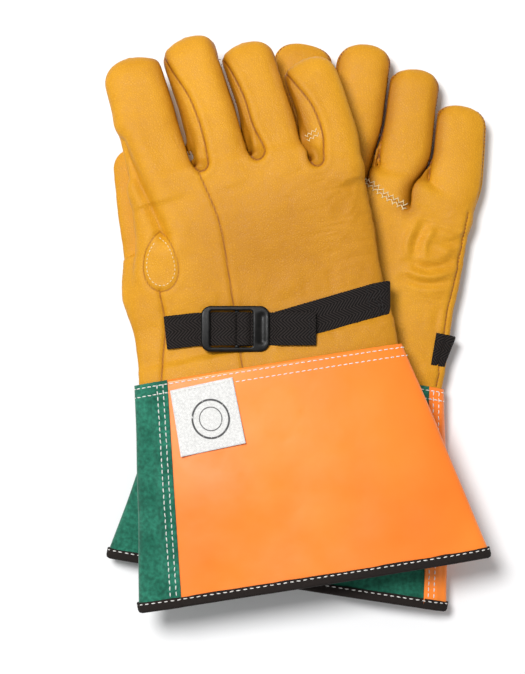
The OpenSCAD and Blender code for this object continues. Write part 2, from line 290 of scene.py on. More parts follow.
def thicken(verts, faces, normals, thickness):
    """A closed shell: the surface, a copy moved inwards and the rim that joins them."""
    n = len(verts)
    inner = verts - normals * thickness
    e = edges_of(faces)
    key = np.sort(e, 1)
    _, first, count = np.unique(key[:, 0] * n + key[:, 1], return_index=True, return_counts=True)
    rim = e[first[count == 1]]
    rim_faces = np.stack([rim[:, 1], rim[:, 0], rim[:, 0] + n, rim[:, 1] + n], 1)
    return np.vstack([verts, inner]), np.vstack([faces, faces[:, ::-1] + n, rim_faces])


def add_mesh(name, glove, verts, faces, material, attributes=None, uv=None, normals=None):
    """Makes an object from points in the glove's frame, with all its faces turned outwards."""
    if glove.flip < 0:
        faces = faces[:, ::-1]
    mesh = bpy.data.meshes.new(name)
    size = faces.shape[1]
    mesh.vertices.add(len(verts))
    mesh.vertices.foreach_set("co", glove.world(verts).astype(np.float32).ravel())
    mesh.loops.add(faces.size)
    mesh.loops.foreach_set("vertex_index", faces.astype(np.int32).ravel())
    mesh.polygons.add(len(faces))
    mesh.polygons.foreach_set("loop_start", np.arange(0, faces.size, size, dtype=np.int32))
    mesh.update(calc_edges=True)
    mesh.polygons.foreach_set("use_smooth", np.ones(len(faces), bool))
    for key, values in (attributes or {}).items():
        mesh.attributes.new(key, "FLOAT", "POINT").data.foreach_set("value", values.astype(np.float32))
    if uv is not None:
        layer = mesh.uv_layers.new(name="UVMap")
        layer.data.foreach_set("uv", uv[faces.ravel()].astype(np.float32).ravel())
    mesh.validate()
    if normals is not None:
        turned = normals @ glove.basis
        mesh.normals_split_custom_set_from_vertices(turned.astype(np.float32))
    mesh.materials.append(material)
    obj = bpy.data.objects.new(name, mesh)
    bpy.context.scene.collection.objects.link(obj)
    return obj


def line_distance(points, line):
    """Distance of each 2D point from a polyline, and how far along the line the nearest point is."""
    best = np.full(len(points), 1e9)
    along = np.zeros(len(points))
    done = 0.0
    for a, b in zip(line[:-1], line[1:]):
        d = b - a
        length = np.linalg.norm(d)
        t = np.clip(((points - a) @ d) / length ** 2, 0, 1)
        dist = np.linalg.norm(points - a - t[:, None] * d, axis=1)
        near = dist < best
        best[near] = dist[near]
        along[near] = done + t[near] * length
        done += length
    return best, along / done


def inside_outline(points, outline):
    """Whether each 2D point lies inside a closed outline."""
    x, y = points[:, :1], points[:, 1:]
    ax, ay = outline[:-1].T
    bx, by = outline[1:].T
    span = np.where(by == ay, 1e-9, by - ay)
    crosses = ((ay > y) != (by > y)) & (x < (bx - ax) * (y - ay) / span + ax)
    return crosses.sum(1) % 2 == 1


def curve(points, spacing=1.0):
    """An even, rounded line through a few points (Catmull-Rom)."""
    p = np.asarray(points, float)
    p = np.vstack([2 * p[0] - p[1], p, 2 * p[-1] - p[-2]])
    out = []
    for k in range(1, len(p) - 2):
        t = np.linspace(0, 1, 24, endpoint=False)[:, None]
        a, b, c, d = p[k - 1:k + 3]
        out.append(0.5 * (2 * b + (c - a) * t + (2 * a - 5 * b + 4 * c - d) * t ** 2
                          + (3 * b - a - 3 * c + d) * t ** 3))
    out = np.vstack(out + [p[-2:-1]])
    length = np.concatenate([[0], np.cumsum(np.linalg.norm(np.diff(out, axis=0), axis=1))])
    even = np.linspace(0, length[-1], max(2, int(length[-1] / spacing) + 1))
    return np.stack([np.interp(even, length, out[:, k]) for k in range(p.shape[1])], 1)


def grid_faces(rows, columns, wrap=False):
    """Quads of a grid of points; columns run left to right and rows run up, seen from outside."""
    r = np.arange(rows - 1)[:, None]
    c = np.arange(columns if wrap else columns - 1)[None, :]
    after = (c + 1) % columns
    quads = [r * columns + c, r * columns + after, (r + 1) * columns + after, (r + 1) * columns + c]
    return np.stack(quads, -1).reshape(-1, 4)


def unit(v):
    return v / np.maximum(np.linalg.norm(v, axis=-1, keepdims=True), 1e-9)


class Skin:
    """A surface that other pieces are laid on, in the glove's frame."""

    def __init__(self, verts, faces):
        self.tree = BVHTree.FromPolygons(verts.tolist(), faces.tolist())

    def cast(self, starts, direction):
        """Points and normals where rays from the starts meet the surface; misses keep the last hit."""
        points, normals = [], []
        for start in starts:
            way = direction if np.ndim(direction) == 1 else direction[len(points)]
            hit, normal, _, _ = self.tree.ray_cast(Vector(start), Vector(way))
            if hit is None:
                hit, normal, _, _ = self.tree.find_nearest(Vector(start))
            if normal.dot(Vector(way)) > 0:
                normal = -normal
            points.append(hit)
            normals.append(normal)
        return np.array(points), np.array(normals)

    def nearest(self, starts):
        """The surface's nearest points to a line beside it, with their normals, from where the line comes close."""
        found = [self.tree.find_nearest(Vector(start)) for start in starts]
        far = [k for k, f in enumerate(found[:len(found) // 2]) if f[3] > 2.0]
        found = found[far[-1] + 1:] if far else found
        return np.array([f[0] for f in found]), np.array([f[1] for f in found])

    def lay(self, plan, face=1.0):
        """Lays a flat line or grid down on the back (face 1) or the palm (face -1)."""
        starts = np.column_stack([plan, np.full(len(plan), 60.0 * face)])
        return self.cast(starts, np.array([0, 0, -face]))


def running_stitches(name, glove, points, normals, material, length=2.9, gap=0.9, radius=0.34, zigzag=0.0):
    """A row of thread stitches along a line of points 1 mm or less apart, each dipping in at both ends."""
    rng = np.random.default_rng(glove.seed + len(points))
    steps = np.linalg.norm(np.diff(points, axis=0), axis=1)
    at = np.concatenate([[0], np.cumsum(steps)])
    count = max(1, int((at[-1] - length) / (length + gap)) + 1)
    start = np.arange(count) * (length + gap) + rng.uniform(-0.15, 0.15, count)
    share = np.linspace(0, 1, 6)
    sides = 6
    where = np.clip(start[:, None] + share * length, 0, at[-1])
    line = np.stack([np.interp(where, at, points[:, k]) for k in range(3)], -1)
    up = unit(np.stack([np.interp(where, at, normals[:, k]) for k in range(3)], -1))
    ahead = unit(np.gradient(line, axis=1) + 1e-9)
    aside = unit(np.cross(up, ahead))
    lean = rng.uniform(-0.12, 0.12, count)[:, None] + zigzag * np.where(np.arange(count) % 2, 1, -1)[:, None]
    line = line + aside * (lean * (share - 0.5) * length)[..., None]
    rise = radius * (1.5 * np.sin(np.pi * share) ** 0.6 - 0.7)
    line = line + up * rise[None, :, None]
    thick = radius * np.array([0.45, 0.95, 1.08, 1.08, 0.95, 0.45])
    turn = np.linspace(0, 2 * np.pi, sides, endpoint=False)
    ring = (aside[:, :, None] * np.cos(turn)[:, None] + up[:, :, None] * np.sin(turn)[:, None])
    verts = line[:, :, None] + ring * thick[None, :, None, None]
    tube = grid_faces(len(share), sides, wrap=True)
    last = (len(share) - 1) * sides
    caps = np.array([[3, 2, 1, 0], [5, 4, 3, 0], [last, last + 1, last + 2, last + 3],
                     [last, last + 3, last + 4, last + 5]])
    one = np.vstack([tube, caps])
    faces = (one[None] + (np.arange(count) * len(share) * sides)[:, None, None]).reshape(-1, 4)
    return add_mesh(name, glove, verts.reshape(-1, 3), faces, material)


def joined(name, objects):
    """Makes one piece out of several meshes."""
    bpy.ops.object.select_all(action="DESELECT")
    for obj in objects:
        obj.select_set(True)
    bpy.context.view_layer.objects.active = objects[0]
    bpy.ops.object.join()
    objects[0].name = name
    return objects[0]


# ---------------------------------------------------------------- the shape of the leather hand

FULLER = 1.9
ROOT_TAPER = 0.32
FINGER_POWER = 2.5
TIP_LEN = 16.0
DROOP = 3.0
SLIT_GAP = 0.85
CROTCH_RISE = 9.0
EDGE_ANGLE = 112.0
WRIST = dict(start=156.0, end=178.0, top=5.4, palm=-8.0)

# The seam between a finger's back and the strip on its thumb side: where it runs, as a share of the
# half width, from the crotch to the tip.
SEAM_AT = [0.1, 0.33, 0.57, 0.8, 0.95]
STRIP_SEAMS = {
    "middle": [-0.48, -0.45, -0.5, -0.8, -0.95],
    "ring": [-0.72, -0.64, -0.6, -0.72, -0.9],
    "little": [-0.42, -0.28, -0.32, -0.66, -0.9]}


def digit_field(d, x, y, z, bend=0.0, reach=10):
    """Below 0 inside the digit; about the distance in millimetres near its surface."""
    u, v = d.coords(x, y)
    over = np.maximum(v - (d.length - TIP_LEN), 0) / TIP_LEN
    share = np.clip(v / d.length, 0, 1)
    w = (z - d.z_mid + bend * share ** 2) / (d.half_h * (1 - 0.12 * share))
    r = np.abs(u / d.half_w(v)) ** FINGER_POWER + np.abs(w) ** FINGER_POWER + over ** 2.3
    back = np.maximum(-v - reach, 0)
    return (r ** (1 / FINGER_POWER) - 1) * d.half_h + back


def hand_profile(glove, y):
    """Half width, middle, top and bottom of the hand, and how square its section is, along y."""
    end = glove.cuff_len
    throat = glove.cuff_ends[1]
    knuckle = glove.fingers[1].root[1]
    inner = 1.9
    at = [end - 14, end + 2, end + 12, WRIST["start"], WRIST["end"], end + 52, end + 72, end + 97, knuckle]
    half_w = [throat[1] - inner, throat[1] - inner, 83.2, 82.2, 81, 79.5, 77.5, 74.8, 73.5]
    middle = [throat[0], throat[0], -0.4, -0.3, 0.5, 1.5, 5, 8.8, 10.4]
    top_in = throat[2] + throat[3] - inner
    palm_in = throat[2] - throat[3] + inner
    top = [top_in, top_in, 8.4, WRIST["top"], WRIST["top"], 7.6, 9.8, 12.2, 12.4]
    palm = [palm_in, palm_in, -9, WRIST["palm"], WRIST["palm"], -8.4, -9.6, -10, -9.4]
    square = [2.5, 2.5, 3, 3.4, 3.4, 3.4, 3.6, 4, 4.4]
    return [np.interp(y, at, values) for values in (half_w, middle, top, palm, square)]


def crotches(glove):
    """For each gap between fingers: the slit's end on the back and a point high up the slit."""
    out = []
    for left, right in zip(glove.fingers[:-1], glove.fingers[1:]):
        low_v = max(left.root[1], right.root[1]) if right.name != "little" else right.root[1]
        ends = []
        for v in (CROTCH_RISE, 0.66 * right.length):
            a = left.plan(left.half_w(v), v + right.root[1] - left.root[1])
            b = right.plan(-right.half_w(v), v)
            ends.append((a + b) / 2)
        ends[0][1] = low_v + CROTCH_RISE
        lean_in = 13.0 if right.name == "little" else 7.0
        out.append((np.array([*ends[0], lean_in]), ends[1]))
    return out


def slit_distance(slit, x, y, z):
    """Distance from the sloping slit between two fingers."""
    low, high = slit
    t = (y - low[1]) / (high[1] - low[1])
    depth = np.clip((12 - z) / 20, 0, 1.2)
    aside = low[2] * (1 - smooth(t * 1.2))
    at = low[0] + np.clip(t, -0.2, 1.5) * (high[0] - low[0]) - aside * depth
    end = low[1] - 8 * depth
    return np.sqrt((x - at) ** 2 + np.maximum(end - y, 0) ** 2)


def hand_field(glove, x, y, z):
    half_w, middle, top, palm, square = hand_profile(glove, y)
    u = np.abs(x - middle) / half_w
    w = np.abs(z - (top + palm) / 2) / ((top - palm) / 2)
    end = glove.fingers[1].root[1] + 2 - np.maximum(x - 44, 0) * 0.42
    over = np.maximum(y - end, 0) / 9
    level = (u ** square + w ** 2.4 + over ** 2.2) ** (1 / 2.4) - 1
    body = level * (top - palm) / 2
    lobe = digit_field(glove.thumb, x, y, z - 5 * smooth((236 - y) / 40), reach=44)
    lobe = lobe + np.maximum(y - 226, 0) * 0.5 + np.maximum(200 - y, 0) * 0.12
    body = soft_min(body, lobe, 7)
    digits = None
    for f in glove.fingers:
        one = digit_field(f, x, y, z, DROOP)
        digits = one if digits is None else soft_min(digits, one, 1.0)
    whole = soft_min(body, digits, 3.5)
    for slit in crotches(glove):
        near = slit_distance(slit, x, y, z)
        share = smooth((y - slit[0][1] + 6) / 26)
        whole = soft_max(whole, SLIT_GAP - near, 4.5 - 3.3 * share)
    return whole


def strip_curve(glove, k):
    """The seam round a crotch and up the next finger, seen from the back."""
    slit = crotches(glove)[k]
    right = glove.fingers[k + 1]
    c = slit[0][:2]
    u_shape = [c + o for o in ([-1.6, 0.6], [-1.0, -3.4], [1.4, -6.2], [4.6, -6.2], [7.0, -3.6], [7.8, 0.4])]
    shares = STRIP_SEAMS[right.name]
    up = [right.plan(q * right.half_w(s * right.length), s * right.length)
          for s, q in zip(SEAM_AT, shares) if s * right.length + right.root[1] > c[1] + 4]
    return curve(np.array(u_shape + up), 1.5)


def side_angles(f, share):
    """Where the seams run round a finger, in degrees from the middle of its back."""
    edge = EDGE_ANGLE
    tip = smooth((share - 0.86) / 0.1)
    left_back = np.full_like(share, -edge)
    if f.name in STRIP_SEAMS:
        q = np.interp(share, SEAM_AT, STRIP_SEAMS[f.name])
        q = np.abs(q)
        angle = -np.degrees(np.arctan2(q, (1 - np.minimum(q, 0.999) ** FINGER_POWER) ** (1 / FINGER_POWER)))
        left_back = angle * (1 - tip) - edge * tip
    right_back = np.full_like(share, edge)
    if f.name != "little":
        right_back = 74 * (1 - tip) + edge * tip
    return left_back, np.full_like(share, -edge), right_back, np.full_like(share, edge)


def around(f, verts):
    """Angle round the finger and the share of its length, for each vertex."""
    u, v = f.coords(verts[:, 0], verts[:, 1])
    share = np.clip(v / f.length, 0, 1)
    w = verts[:, 2] - f.z_mid + DROOP * share ** 2
    angle = np.degrees(np.arctan2(u / f.half_w(v), w / f.half_h))
    return angle, share, np.hypot(u, w), v


def hand_seams(glove):
    """Named seam lines on the back of the hand, in plan."""
    first = crotches(glove)[0][0][:2]
    end = glove.cuff_len
    drop = [[-51, 237], [-46, 230], [-43.6, 219], [-44.2, 208.5], [-49.6, 201], [-57.6, 199.6], [-64, 205],
            [-65.6, 214.5], [-62.4, 225], [-56, 233], [-51, 237]]
    return {
        "back": curve([first + [0.6, -7], [-12.6, 236], [-13.2, 205], [-17.8, end - 8]], 1.5),
        "side": curve([[-58.5, 200], [-59.5, 178], [-66, 156], [-72.5, end - 8]], 1.5),
        "drop": curve(drop, 1.2),
        "crease": curve([[-64.5, 298], [-60, 280], [-54.5, 258], [-48.8, 234]], 1.5)}


# Folds across the palm where it bends: where each runs, and its depth and width.
PALM_FOLDS = [
    ([[54, 246], [51, 237], [50, 229], [52, 221]], 1.1, 2.4),
    ([[79, 228], [68, 220], [57, 217], [47, 219]], 1.0, 2.4),
    ([[76, 212], [62, 207], [46, 208]], 0.7, 2.0),
    ([[80, 240], [70, 236], [62, 238]], 0.5, 1.6)]

# Depth and width of each seam's groove, and how dark its shadow line is.
SEAM_CUTS = {
    "back": (0.7, 1.1, 0.9),
    "side": (0.9, 1.2, 0.9),
    "drop": (0.6, 1.0, 0.75),
    "crease": (3.4, 3.6, 0.35)}


def relief(glove, verts, normals):
    """How far each vertex of the leather moves out, how dark the painted seam shadow is there, and how strong the
    painted shade near the slits and over the back of the hand is.
    """
    plan = verts[:, :2]
    out = np.zeros(len(verts))
    dark = np.zeros(len(verts))
    on_back = smooth((normals[:, 2] + 0.15) / 0.4)
    on_palm = smooth((-normals[:, 2] + 0.15) / 0.4)

    def groove(dist, depth, width, mask=1.0, shade=1.0):
        nonlocal out, dark
        bed = np.exp(-(dist / width) ** 2) * mask
        swell = np.exp(-((dist - 3.2 * width) / (1.8 * width)) ** 2) * mask
        out += -depth * bed + 0.35 * depth * swell
        line = np.exp(-(dist / (0.6 * width)) ** 2) * mask
        dark = np.maximum(dark, line * shade)

    for k in range(3):
        seam = strip_curve(glove, k)
        slit = crotches(glove)[k]
        dist, _ = line_distance(plan, seam)
        groove(dist, 1.3, 1.2, on_back)
        right = glove.fingers[k + 1]
        u, v = right.coords(plan[:, 0], plan[:, 1])
        share = np.clip(v / right.length, 0, 1)
        edge = np.interp(share, SEAM_AT, STRIP_SEAMS[right.name]) * right.half_w(v)
        inside = smooth((edge - u) / 2.5) * smooth((u + right.half_w(v) + 1) / 3) * smooth((v - 14) / 10)
        out -= 1.5 * inside * on_back
        rim = np.abs(slit_distance(slit, verts[:, 0], verts[:, 1], verts[:, 2] * 0 + 12) - 3.2)
        low_end = 1 - smooth((plan[:, 1] - slit[0][1] - 3) / 16)
        out += 0.9 * np.exp(-(rim / 1.6) ** 2) * low_end * on_back
    for name, line in hand_seams(glove).items():
        dist, _ = line_distance(plan, line)
        depth, width, shade = SEAM_CUTS[name]
        groove(dist, depth, width, on_back, shade)
    nearest = np.stack([digit_field(f, verts[:, 0], verts[:, 1], verts[:, 2], DROOP) for f in glove.fingers])
    own = nearest.argmin(0)
    for k, f in enumerate(glove.fingers):
        angle, share, radius, v = around(f, verts)
        mine = (own == k) * smooth((v - 8) / 10)
        for seam in side_angles(f, share)[1::2]:
            groove(np.radians(np.abs(angle - seam)) * radius, 0.8, 1.0, mine, 0.9)
    gap = gunn_line(glove)
    dist, _ = line_distance(plan, gap)
    groove(dist, 0.8, 1.1, on_palm, 0.8)
    dist, _ = line_distance(plan, hand_edge(glove))
    groove(dist, 0.7, 0.9, on_palm, 0.8)
    soft = folds(glove, verts, on_back, on_palm)
    for slit in crotches(glove):
        near = slit_distance(slit, verts[:, 0], verts[:, 1], verts[:, 2])
        soft = soft * (0.15 + 0.85 * smooth((near - 1.5) / 6))
    # Painted shade: darker near each slit between the fingers, and over the back of the hand, more towards the wrist.
    painted_shade = np.zeros(len(verts))
    for slit in crotches(glove):
        near = slit_distance(slit, verts[:, 0], verts[:, 1], verts[:, 2])
        painted_shade = np.maximum(painted_shade, np.exp(-(near / 5.5) ** 2))
    on_hand = smooth((285 - plan[:, 1]) / 60) * smooth((plan[:, 0] + 60) / 50)
    painted_shade = np.maximum(painted_shade, 0.42 * on_hand * on_back)
    return out + soft, np.stack([dark, painted_shade], 1)


def gunn_line(glove):
    """The seam across the palm at the roots of the middle and ring fingers."""
    ends = [c[0][:2] - [c[0][2], 9.0] for c in crotches(glove)]
    return curve([ends[0], (ends[0] + ends[1]) / 2 + [0, -4], ends[1],
                  (ends[1] + ends[2]) / 2 + [0, -1], ends[2]], 1.5)


def folds(glove, verts, on_back, on_palm):
    """Soft hollows and the creases where the leather gathers."""
    seed = glove.seed
    out = 1.35 * value_noise(verts, 40, seed) + 0.6 * value_noise(verts, 18, seed + 1)
    stretch = verts * [1.0, 0.38, 1.0]
    gathers = value_noise(stretch, 5.5, seed + 2)
    wrist = np.exp(-((verts[:, 1] - 183) / 9) ** 2) + np.exp(-((verts[:, 1] - 151) / 5) ** 2)
    out += 0.55 * gathers * wrist
    across = verts * [0.3, 1.0, 1.0]
    fine = 1 - 2 * np.abs(value_noise(across, 3.2, seed + 3))
    little = glove.fingers[3].root
    ring = glove.fingers[2].root
    for line, depth, width in PALM_FOLDS:
        bent, share = line_distance(verts[:, :2], curve(line, 3.0))
        fade = np.sin(np.pi * np.clip(share, 0.02, 0.98)) ** 0.5
        out += depth * (1.5 * np.exp(-((bent - 2.4 * width) / (1.2 * width)) ** 2) - np.exp(-(bent / width) ** 2)) * (
            fade * on_palm)
    for at, size, depth in ((little + [-6, -9], 17, 0.28), (ring + [4, -16], 16, 0.2),
                            (np.array([66.0, 205.0]), 24, 0.22), (little + [2, -30], 20, 0.22)):
        spot = np.exp(-((verts[:, 0] - at[0]) ** 2 + (verts[:, 1] - at[1]) ** 2) / size ** 2)
        out += depth * fine * spot
    return out


# ---------------------------------------------------------------- leather pieces

def finger_cut(glove, k):
    """Distance along finger k where its own body's pieces begin, past every crotch beside it."""
    f = glove.fingers[k]
    slits = crotches(glove)
    beside = [slits[i][0][:2] for i in (k - 1, k) if 0 <= i < 3 and (k, i) != (2, 2)]
    return max(f.coords(c[0], c[1])[1] for c in beside) + 3.0


def blend_finger(glove, obj, digit, start):
    """Bakes a finger's piece's placement into its mesh; the pivot and the span just past its root are worked out but
    not used.
    """
    pivot_z = glove.local(np.array([digit.joint["pos_m"]]))[0][2]
    ends = [tuple(glove.world([*digit.plan(0, v), pivot_z])) for v in (start, start + 24)]
    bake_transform(obj)


def shading(dark):
    """The shader's attributes for both faces of a leather shell: the painted seam shadow and the painted shade."""
    return {"seam": np.tile(dark[:, 0], 2), "painted_shade": np.tile(dark[:, 1], 2)}


def leather_hand(glove, material):
    """The hand and fingers as one skin, cut along its seams. Gives that skin, and each finger's own part of it."""
    low = np.array([-94.0, glove.cuff_len - 13, -26.0])
    high = np.array([94.0, 366.0, 20.0])
    xs, ys, zs = (np.arange(low[k], high[k], STEP, dtype=np.float32) for k in range(3))
    field = hand_field(glove, xs[:, None, None], ys[None, :, None], zs[None, None, :])
    verts, faces = surface_net(field.astype(np.float32), low, STEP)
    verts = relax(verts, faces, 3)
    normals = vertex_normals(verts, faces)
    move, dark = relief(glove, verts, normals)
    verts = verts + normals * move[:, None]
    normals = vertex_normals(verts, faces)
    middle = verts[faces].mean(1)
    facing = normals[faces].mean(1)
    owner = np.full(len(faces), -1)
    fields = np.stack([digit_field(f, middle[:, 0], middle[:, 1], middle[:, 2], DROOP) for f in glove.fingers])
    nearest = fields.argmin(0)
    for k, f in enumerate(glove.fingers):
        _, v = f.coords(middle[:, 0], middle[:, 1])
        owner[(nearest == k) & (v > finger_cut(glove, k))] = k

    def piece(name, keep, body, node, digit=None, start=0.0):
        if not keep.any():
            return None
        part, part_faces, part_normals, part_dark = part_of(verts, faces, keep, normals, dark)
        shell, shell_faces = thicken(part, part_faces, part_normals, 1.1)
        obj = add_mesh(name, glove, shell, shell_faces, material, shading(part_dark),
                       normals=np.vstack([part_normals, -part_normals]))
        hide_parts(glove.node(node))
        if digit is None:
            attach(obj, body)
        else:
            blend_finger(glove, obj, digit, start)
        return obj

    for k, f in enumerate(glove.fingers):
        angle, share, _, _ = around(f, middle)
        left_back, left_front, right_back, right_front = side_angles(f, share)
        back = (angle > left_back) & (angle < right_back)
        front = (angle < left_front) | (angle > right_front)
        strip = ~back & ~front
        start = finger_cut(glove, k)
        ends = "fourchettes" if f.name in ("middle", "ring") else "fourchette"
        for label, keep in (("back", back), ("front", front), (ends, strip)):
            piece(glove.node(f"{f.name}_{label}_leather"), (owner == k) & keep, f.body, f"{f.name}_{label}", f, start)
    on_hand = owner < 0
    seam_x = np.interp(middle[:, 1], hand_seams(glove)["back"][::-1, 1], hand_seams(glove)["back"][::-1, 0])
    top = facing[:, 2] > -0.25
    drop = hand_seams(glove)["drop"]
    patch = on_hand & (facing[:, 2] > 0.2) & inside_outline(middle[:, :2], drop)
    piece(glove.node("thumb_gusset_leather"), patch, glove.hand, "thumb_gusset")
    on_hand = on_hand & ~patch
    piece(glove.node("back_panel_leather"), on_hand & top & (middle[:, 0] >= seam_x), glove.hand, "back_panel")
    piece(glove.node("index_side_panel_leather"), on_hand & top & (middle[:, 0] < seam_x), glove.hand,
          "index_side_panel")
    piece(glove.node("palm_panel_leather"), on_hand & ~top, glove.hand, "palm_panel")
    return Skin(verts, faces), [Skin(verts, faces[owner == k]) for k in range(len(glove.fingers))]


def leather_thumb(glove, material):
    """The thumb as its own closed skin, rooted inside the hand."""
    d = glove.thumb
    low = np.array([-110.0, 180.0, -32.0])
    high = np.array([-16.0, 312.0, 12.0])
    xs, ys, zs = (np.arange(low[k], high[k], STEP, dtype=np.float32) for k in range(3))
    x, y, z = xs[:, None, None], ys[None, :, None], zs[None, None, :]
    raised = z - 3 * smooth((236 - y) / 40)
    field = digit_field(d, x, y, raised)
    _, v = d.coords(x, y)
    field = np.maximum(field, 14 - v)
    verts, faces = surface_net(field.astype(np.float32), low, STEP)
    verts = relax(verts, faces, 3)
    normals = vertex_normals(verts, faces)
    u, v = d.coords(verts[:, 0], verts[:, 1])
    angle = np.degrees(np.arctan2(u / d.half_w(v), (verts[:, 2] - d.z_mid) / d.half_h))
    seam = np.exp(-(np.radians(np.abs(np.abs(angle) - 96)) * np.hypot(u, verts[:, 2] - d.z_mid)) ** 2)
    verts = verts + normals * (-0.7 * seam + 0.7 * value_noise(verts, 24, glove.seed + 9)
                               + 0.3 * value_noise(verts, 9, glove.seed + 10))[:, None]
    normals = vertex_normals(verts, faces)
    middle = verts[faces].mean(1)
    u, v = d.coords(middle[:, 0], middle[:, 1])
    angle = np.degrees(np.arctan2(u / d.half_w(v), (middle[:, 2] - d.z_mid) / d.half_h))
    for label, keep in (("back", np.abs(angle) < 96), ("front", np.abs(angle) >= 96)):
        # The thumb's seam groove also gets the painted seam shadow.
        part, part_faces, part_normals, dark = part_of(verts, faces, keep, normals, np.stack([seam, seam * 0], 1))
        shell, shell_faces = thicken(part, part_faces, part_normals, 1.1)
        obj = add_mesh(glove.node(f"thumb_{label}_leather"), glove, shell, shell_faces, material,
                       shading(dark), normals=np.vstack([part_normals, -part_normals]))
        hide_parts(glove.node("thumb_" + label))
        a, b = d.plan(0, 16), d.plan(0, 48)
        tuple(glove.world([*a, 0]))
        tuple(glove.world([*b, 0]))
        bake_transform(obj)


# ---------------------------------------------------------------- cuff

CUFF_POWER = 0.8
LAP = 8.0
LIFT = 1.1
VINYL_T = 0.9
SUEDE_T = 1.2
BINDING_H = 5.8


class Cuff:
    """The flared cuff as a surface: s runs round it from the thumb side over the back, level runs up it."""

    def __init__(self, glove):
        self.glove = glove
        orange = glove.node_points(glove.node("cuff_back_panel"))
        level = orange[:, 1] - glove.slope * orange[:, 0]
        self.edges = []
        for end, at in zip(glove.cuff_ends, (0, glove.cuff_len)):
            ring = orange[np.abs(level - at) < 0.5]
            top = ring[ring[:, 2] > end[2]]
            under = ring[ring[:, 2] <= end[2]]
            self.edges.append((top[:, 0].min(), under[:, 0].min()))

    def section(self, level):
        share = level / self.glove.cuff_len
        return [np.interp(share, [0, 1], pair) for pair in zip(*self.glove.cuff_ends)]

    def loop(self, level, count=1441):
        """Evenly fine points round the cuff at a level, with their distance round it."""
        middle, half_w, z_mid, half_h = self.section(level)
        phi = np.pi - 2 * np.pi * np.linspace(0, 1, count)
        c, s = np.cos(phi), np.sin(phi)
        x = middle + half_w * np.sign(c) * np.abs(c) ** CUFF_POWER
        z = z_mid + half_h * np.sign(s) * np.abs(s) ** CUFF_POWER
        y = level + self.glove.slope * x
        points = np.column_stack([x, y, z])
        steps = np.linalg.norm(np.diff(points, axis=0), axis=1)
        return points, np.concatenate([[0], np.cumsum(steps)])

    def seam(self, level, which):
        """Distance round the cuff to the orange panel's edge: 0 on the back, 1 under the far side."""
        edge = np.interp(level / self.glove.cuff_len, [0, 1], [e[which] for e in self.edges])
        points, along = self.loop(level)
        half = len(points) // 2
        if which == 0:
            return np.interp(edge, points[:half, 0], along[:half])
        return np.interp(-edge, -points[half:, 0], along[half:])

    def panel(self, levels, start, end, columns, offset):
        """A grid of points between two distances round the cuff, moved out by offset(in from start, in from end)."""
        rows = []
        for level in levels:
            points, along = self.loop(level)
            total = along[-1]
            a, b = start(level), end(level)
            at = np.linspace(a, b, columns)
            x, y, z = (np.interp(at % total, along, points[:, k]) for k in range(3))
            ahead = np.stack([np.interp((at + 0.5) % total, along, points[:, k])
                              - np.interp((at - 0.5) % total, along, points[:, k]) for k in (0, 2)], 1)
            out = unit(np.column_stack([-ahead[:, 1], np.zeros(columns), ahead[:, 0]]))
            base = np.column_stack([x, y, z])
            fade = smooth((self.glove.cuff_len - level) / 50)
            wave = 1.7 * value_noise(base * [1, 0.8, 2.0], 62, self.glove.seed + 20)
            wave = wave + 0.5 * value_noise(base * [1, 0.8, 2.0], 24, self.glove.seed + 21)
            move = offset(at - a, b - at, level) + wave * (0.15 + 0.85 * fade)
            rows.append(base + out * move[:, None])
        return np.array(rows)


def cuff_grid(cuff, levels, back, columns):
    """The orange panel (back) or the green one, as rows of points."""
    def lap(inside, outside_edge):
        return LIFT * (1 - smooth((inside - LAP) / 5))

    if back:
        return cuff.panel(levels, lambda v: cuff.seam(v, 0) - LAP, lambda v: cuff.seam(v, 1), columns,
                          lambda a, b, v: lap(b, a))
    return cuff.panel(levels, lambda v: cuff.seam(v, 1) - LAP,
                      lambda v: cuff.loop(v)[1][-1] + cuff.seam(v, 0), columns,
                      lambda a, b, v: lap(b, a))


def make_cuff(glove, mats):
    cuff = Cuff(glove)
    levels = np.linspace(0.5, glove.cuff_len + 0.5, 74)
    skins = {}
    for label, back, material, thick, slot in (
            ("back", True, "orange_vinyl", VINYL_T, "orange_vinyl"),
            ("palm", False, "green_suede", SUEDE_T, "green_suede")):
        grid = cuff_grid(cuff, levels, back, 260)
        rows, columns = grid.shape[:2]
        verts = grid.reshape(-1, 3)
        faces = grid_faces(rows, columns)
        normals = vertex_normals(verts, faces)
        shell, shell_faces = thicken(verts, faces, normals, thick)
        obj = add_mesh(glove.node(f"cuff_{label}_cloth"), glove, shell, shell_faces, mats[material])
        if back:
            obj.data.materials.append(mats["backing"])
            index = np.zeros(len(shell_faces), np.int32)
            index[len(faces):2 * len(faces)] = 1
            obj.data.polygons.foreach_set("material_index", index)
        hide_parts(glove.node(f"cuff_{label}_panel"))
        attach(obj, glove.hand)
        skins[label] = (verts, faces)
    count = len(skins["back"][0])
    outer = Skin(np.vstack([skins["back"][0], skins["palm"][0]]),
                 np.vstack([skins["back"][1], skins["palm"][1] + count]))
    make_binding(glove, cuff, outer, mats)
    make_cuff_threads(glove, cuff, outer, mats)
    if glove.node("label") in frame["nodes"]:
        make_label(glove, outer, mats)
    return cuff, outer


def ring_line(cuff, outer, level, spacing=0.8, start=0.0, end=1.0):
    """Points and normals on the finished cuff at one level, between two shares of the way round."""
    points, along = cuff.loop(level)
    at = np.arange(start * along[-1], end * along[-1], spacing)
    line = np.stack([np.interp(at, along, points[:, k]) for k in range(3)], 1)
    ahead = np.gradient(line, axis=0)
    out = unit(np.column_stack([-ahead[:, 2], np.zeros(len(line)), ahead[:, 0]]))
    return outer.cast(line + out * 12, -out)


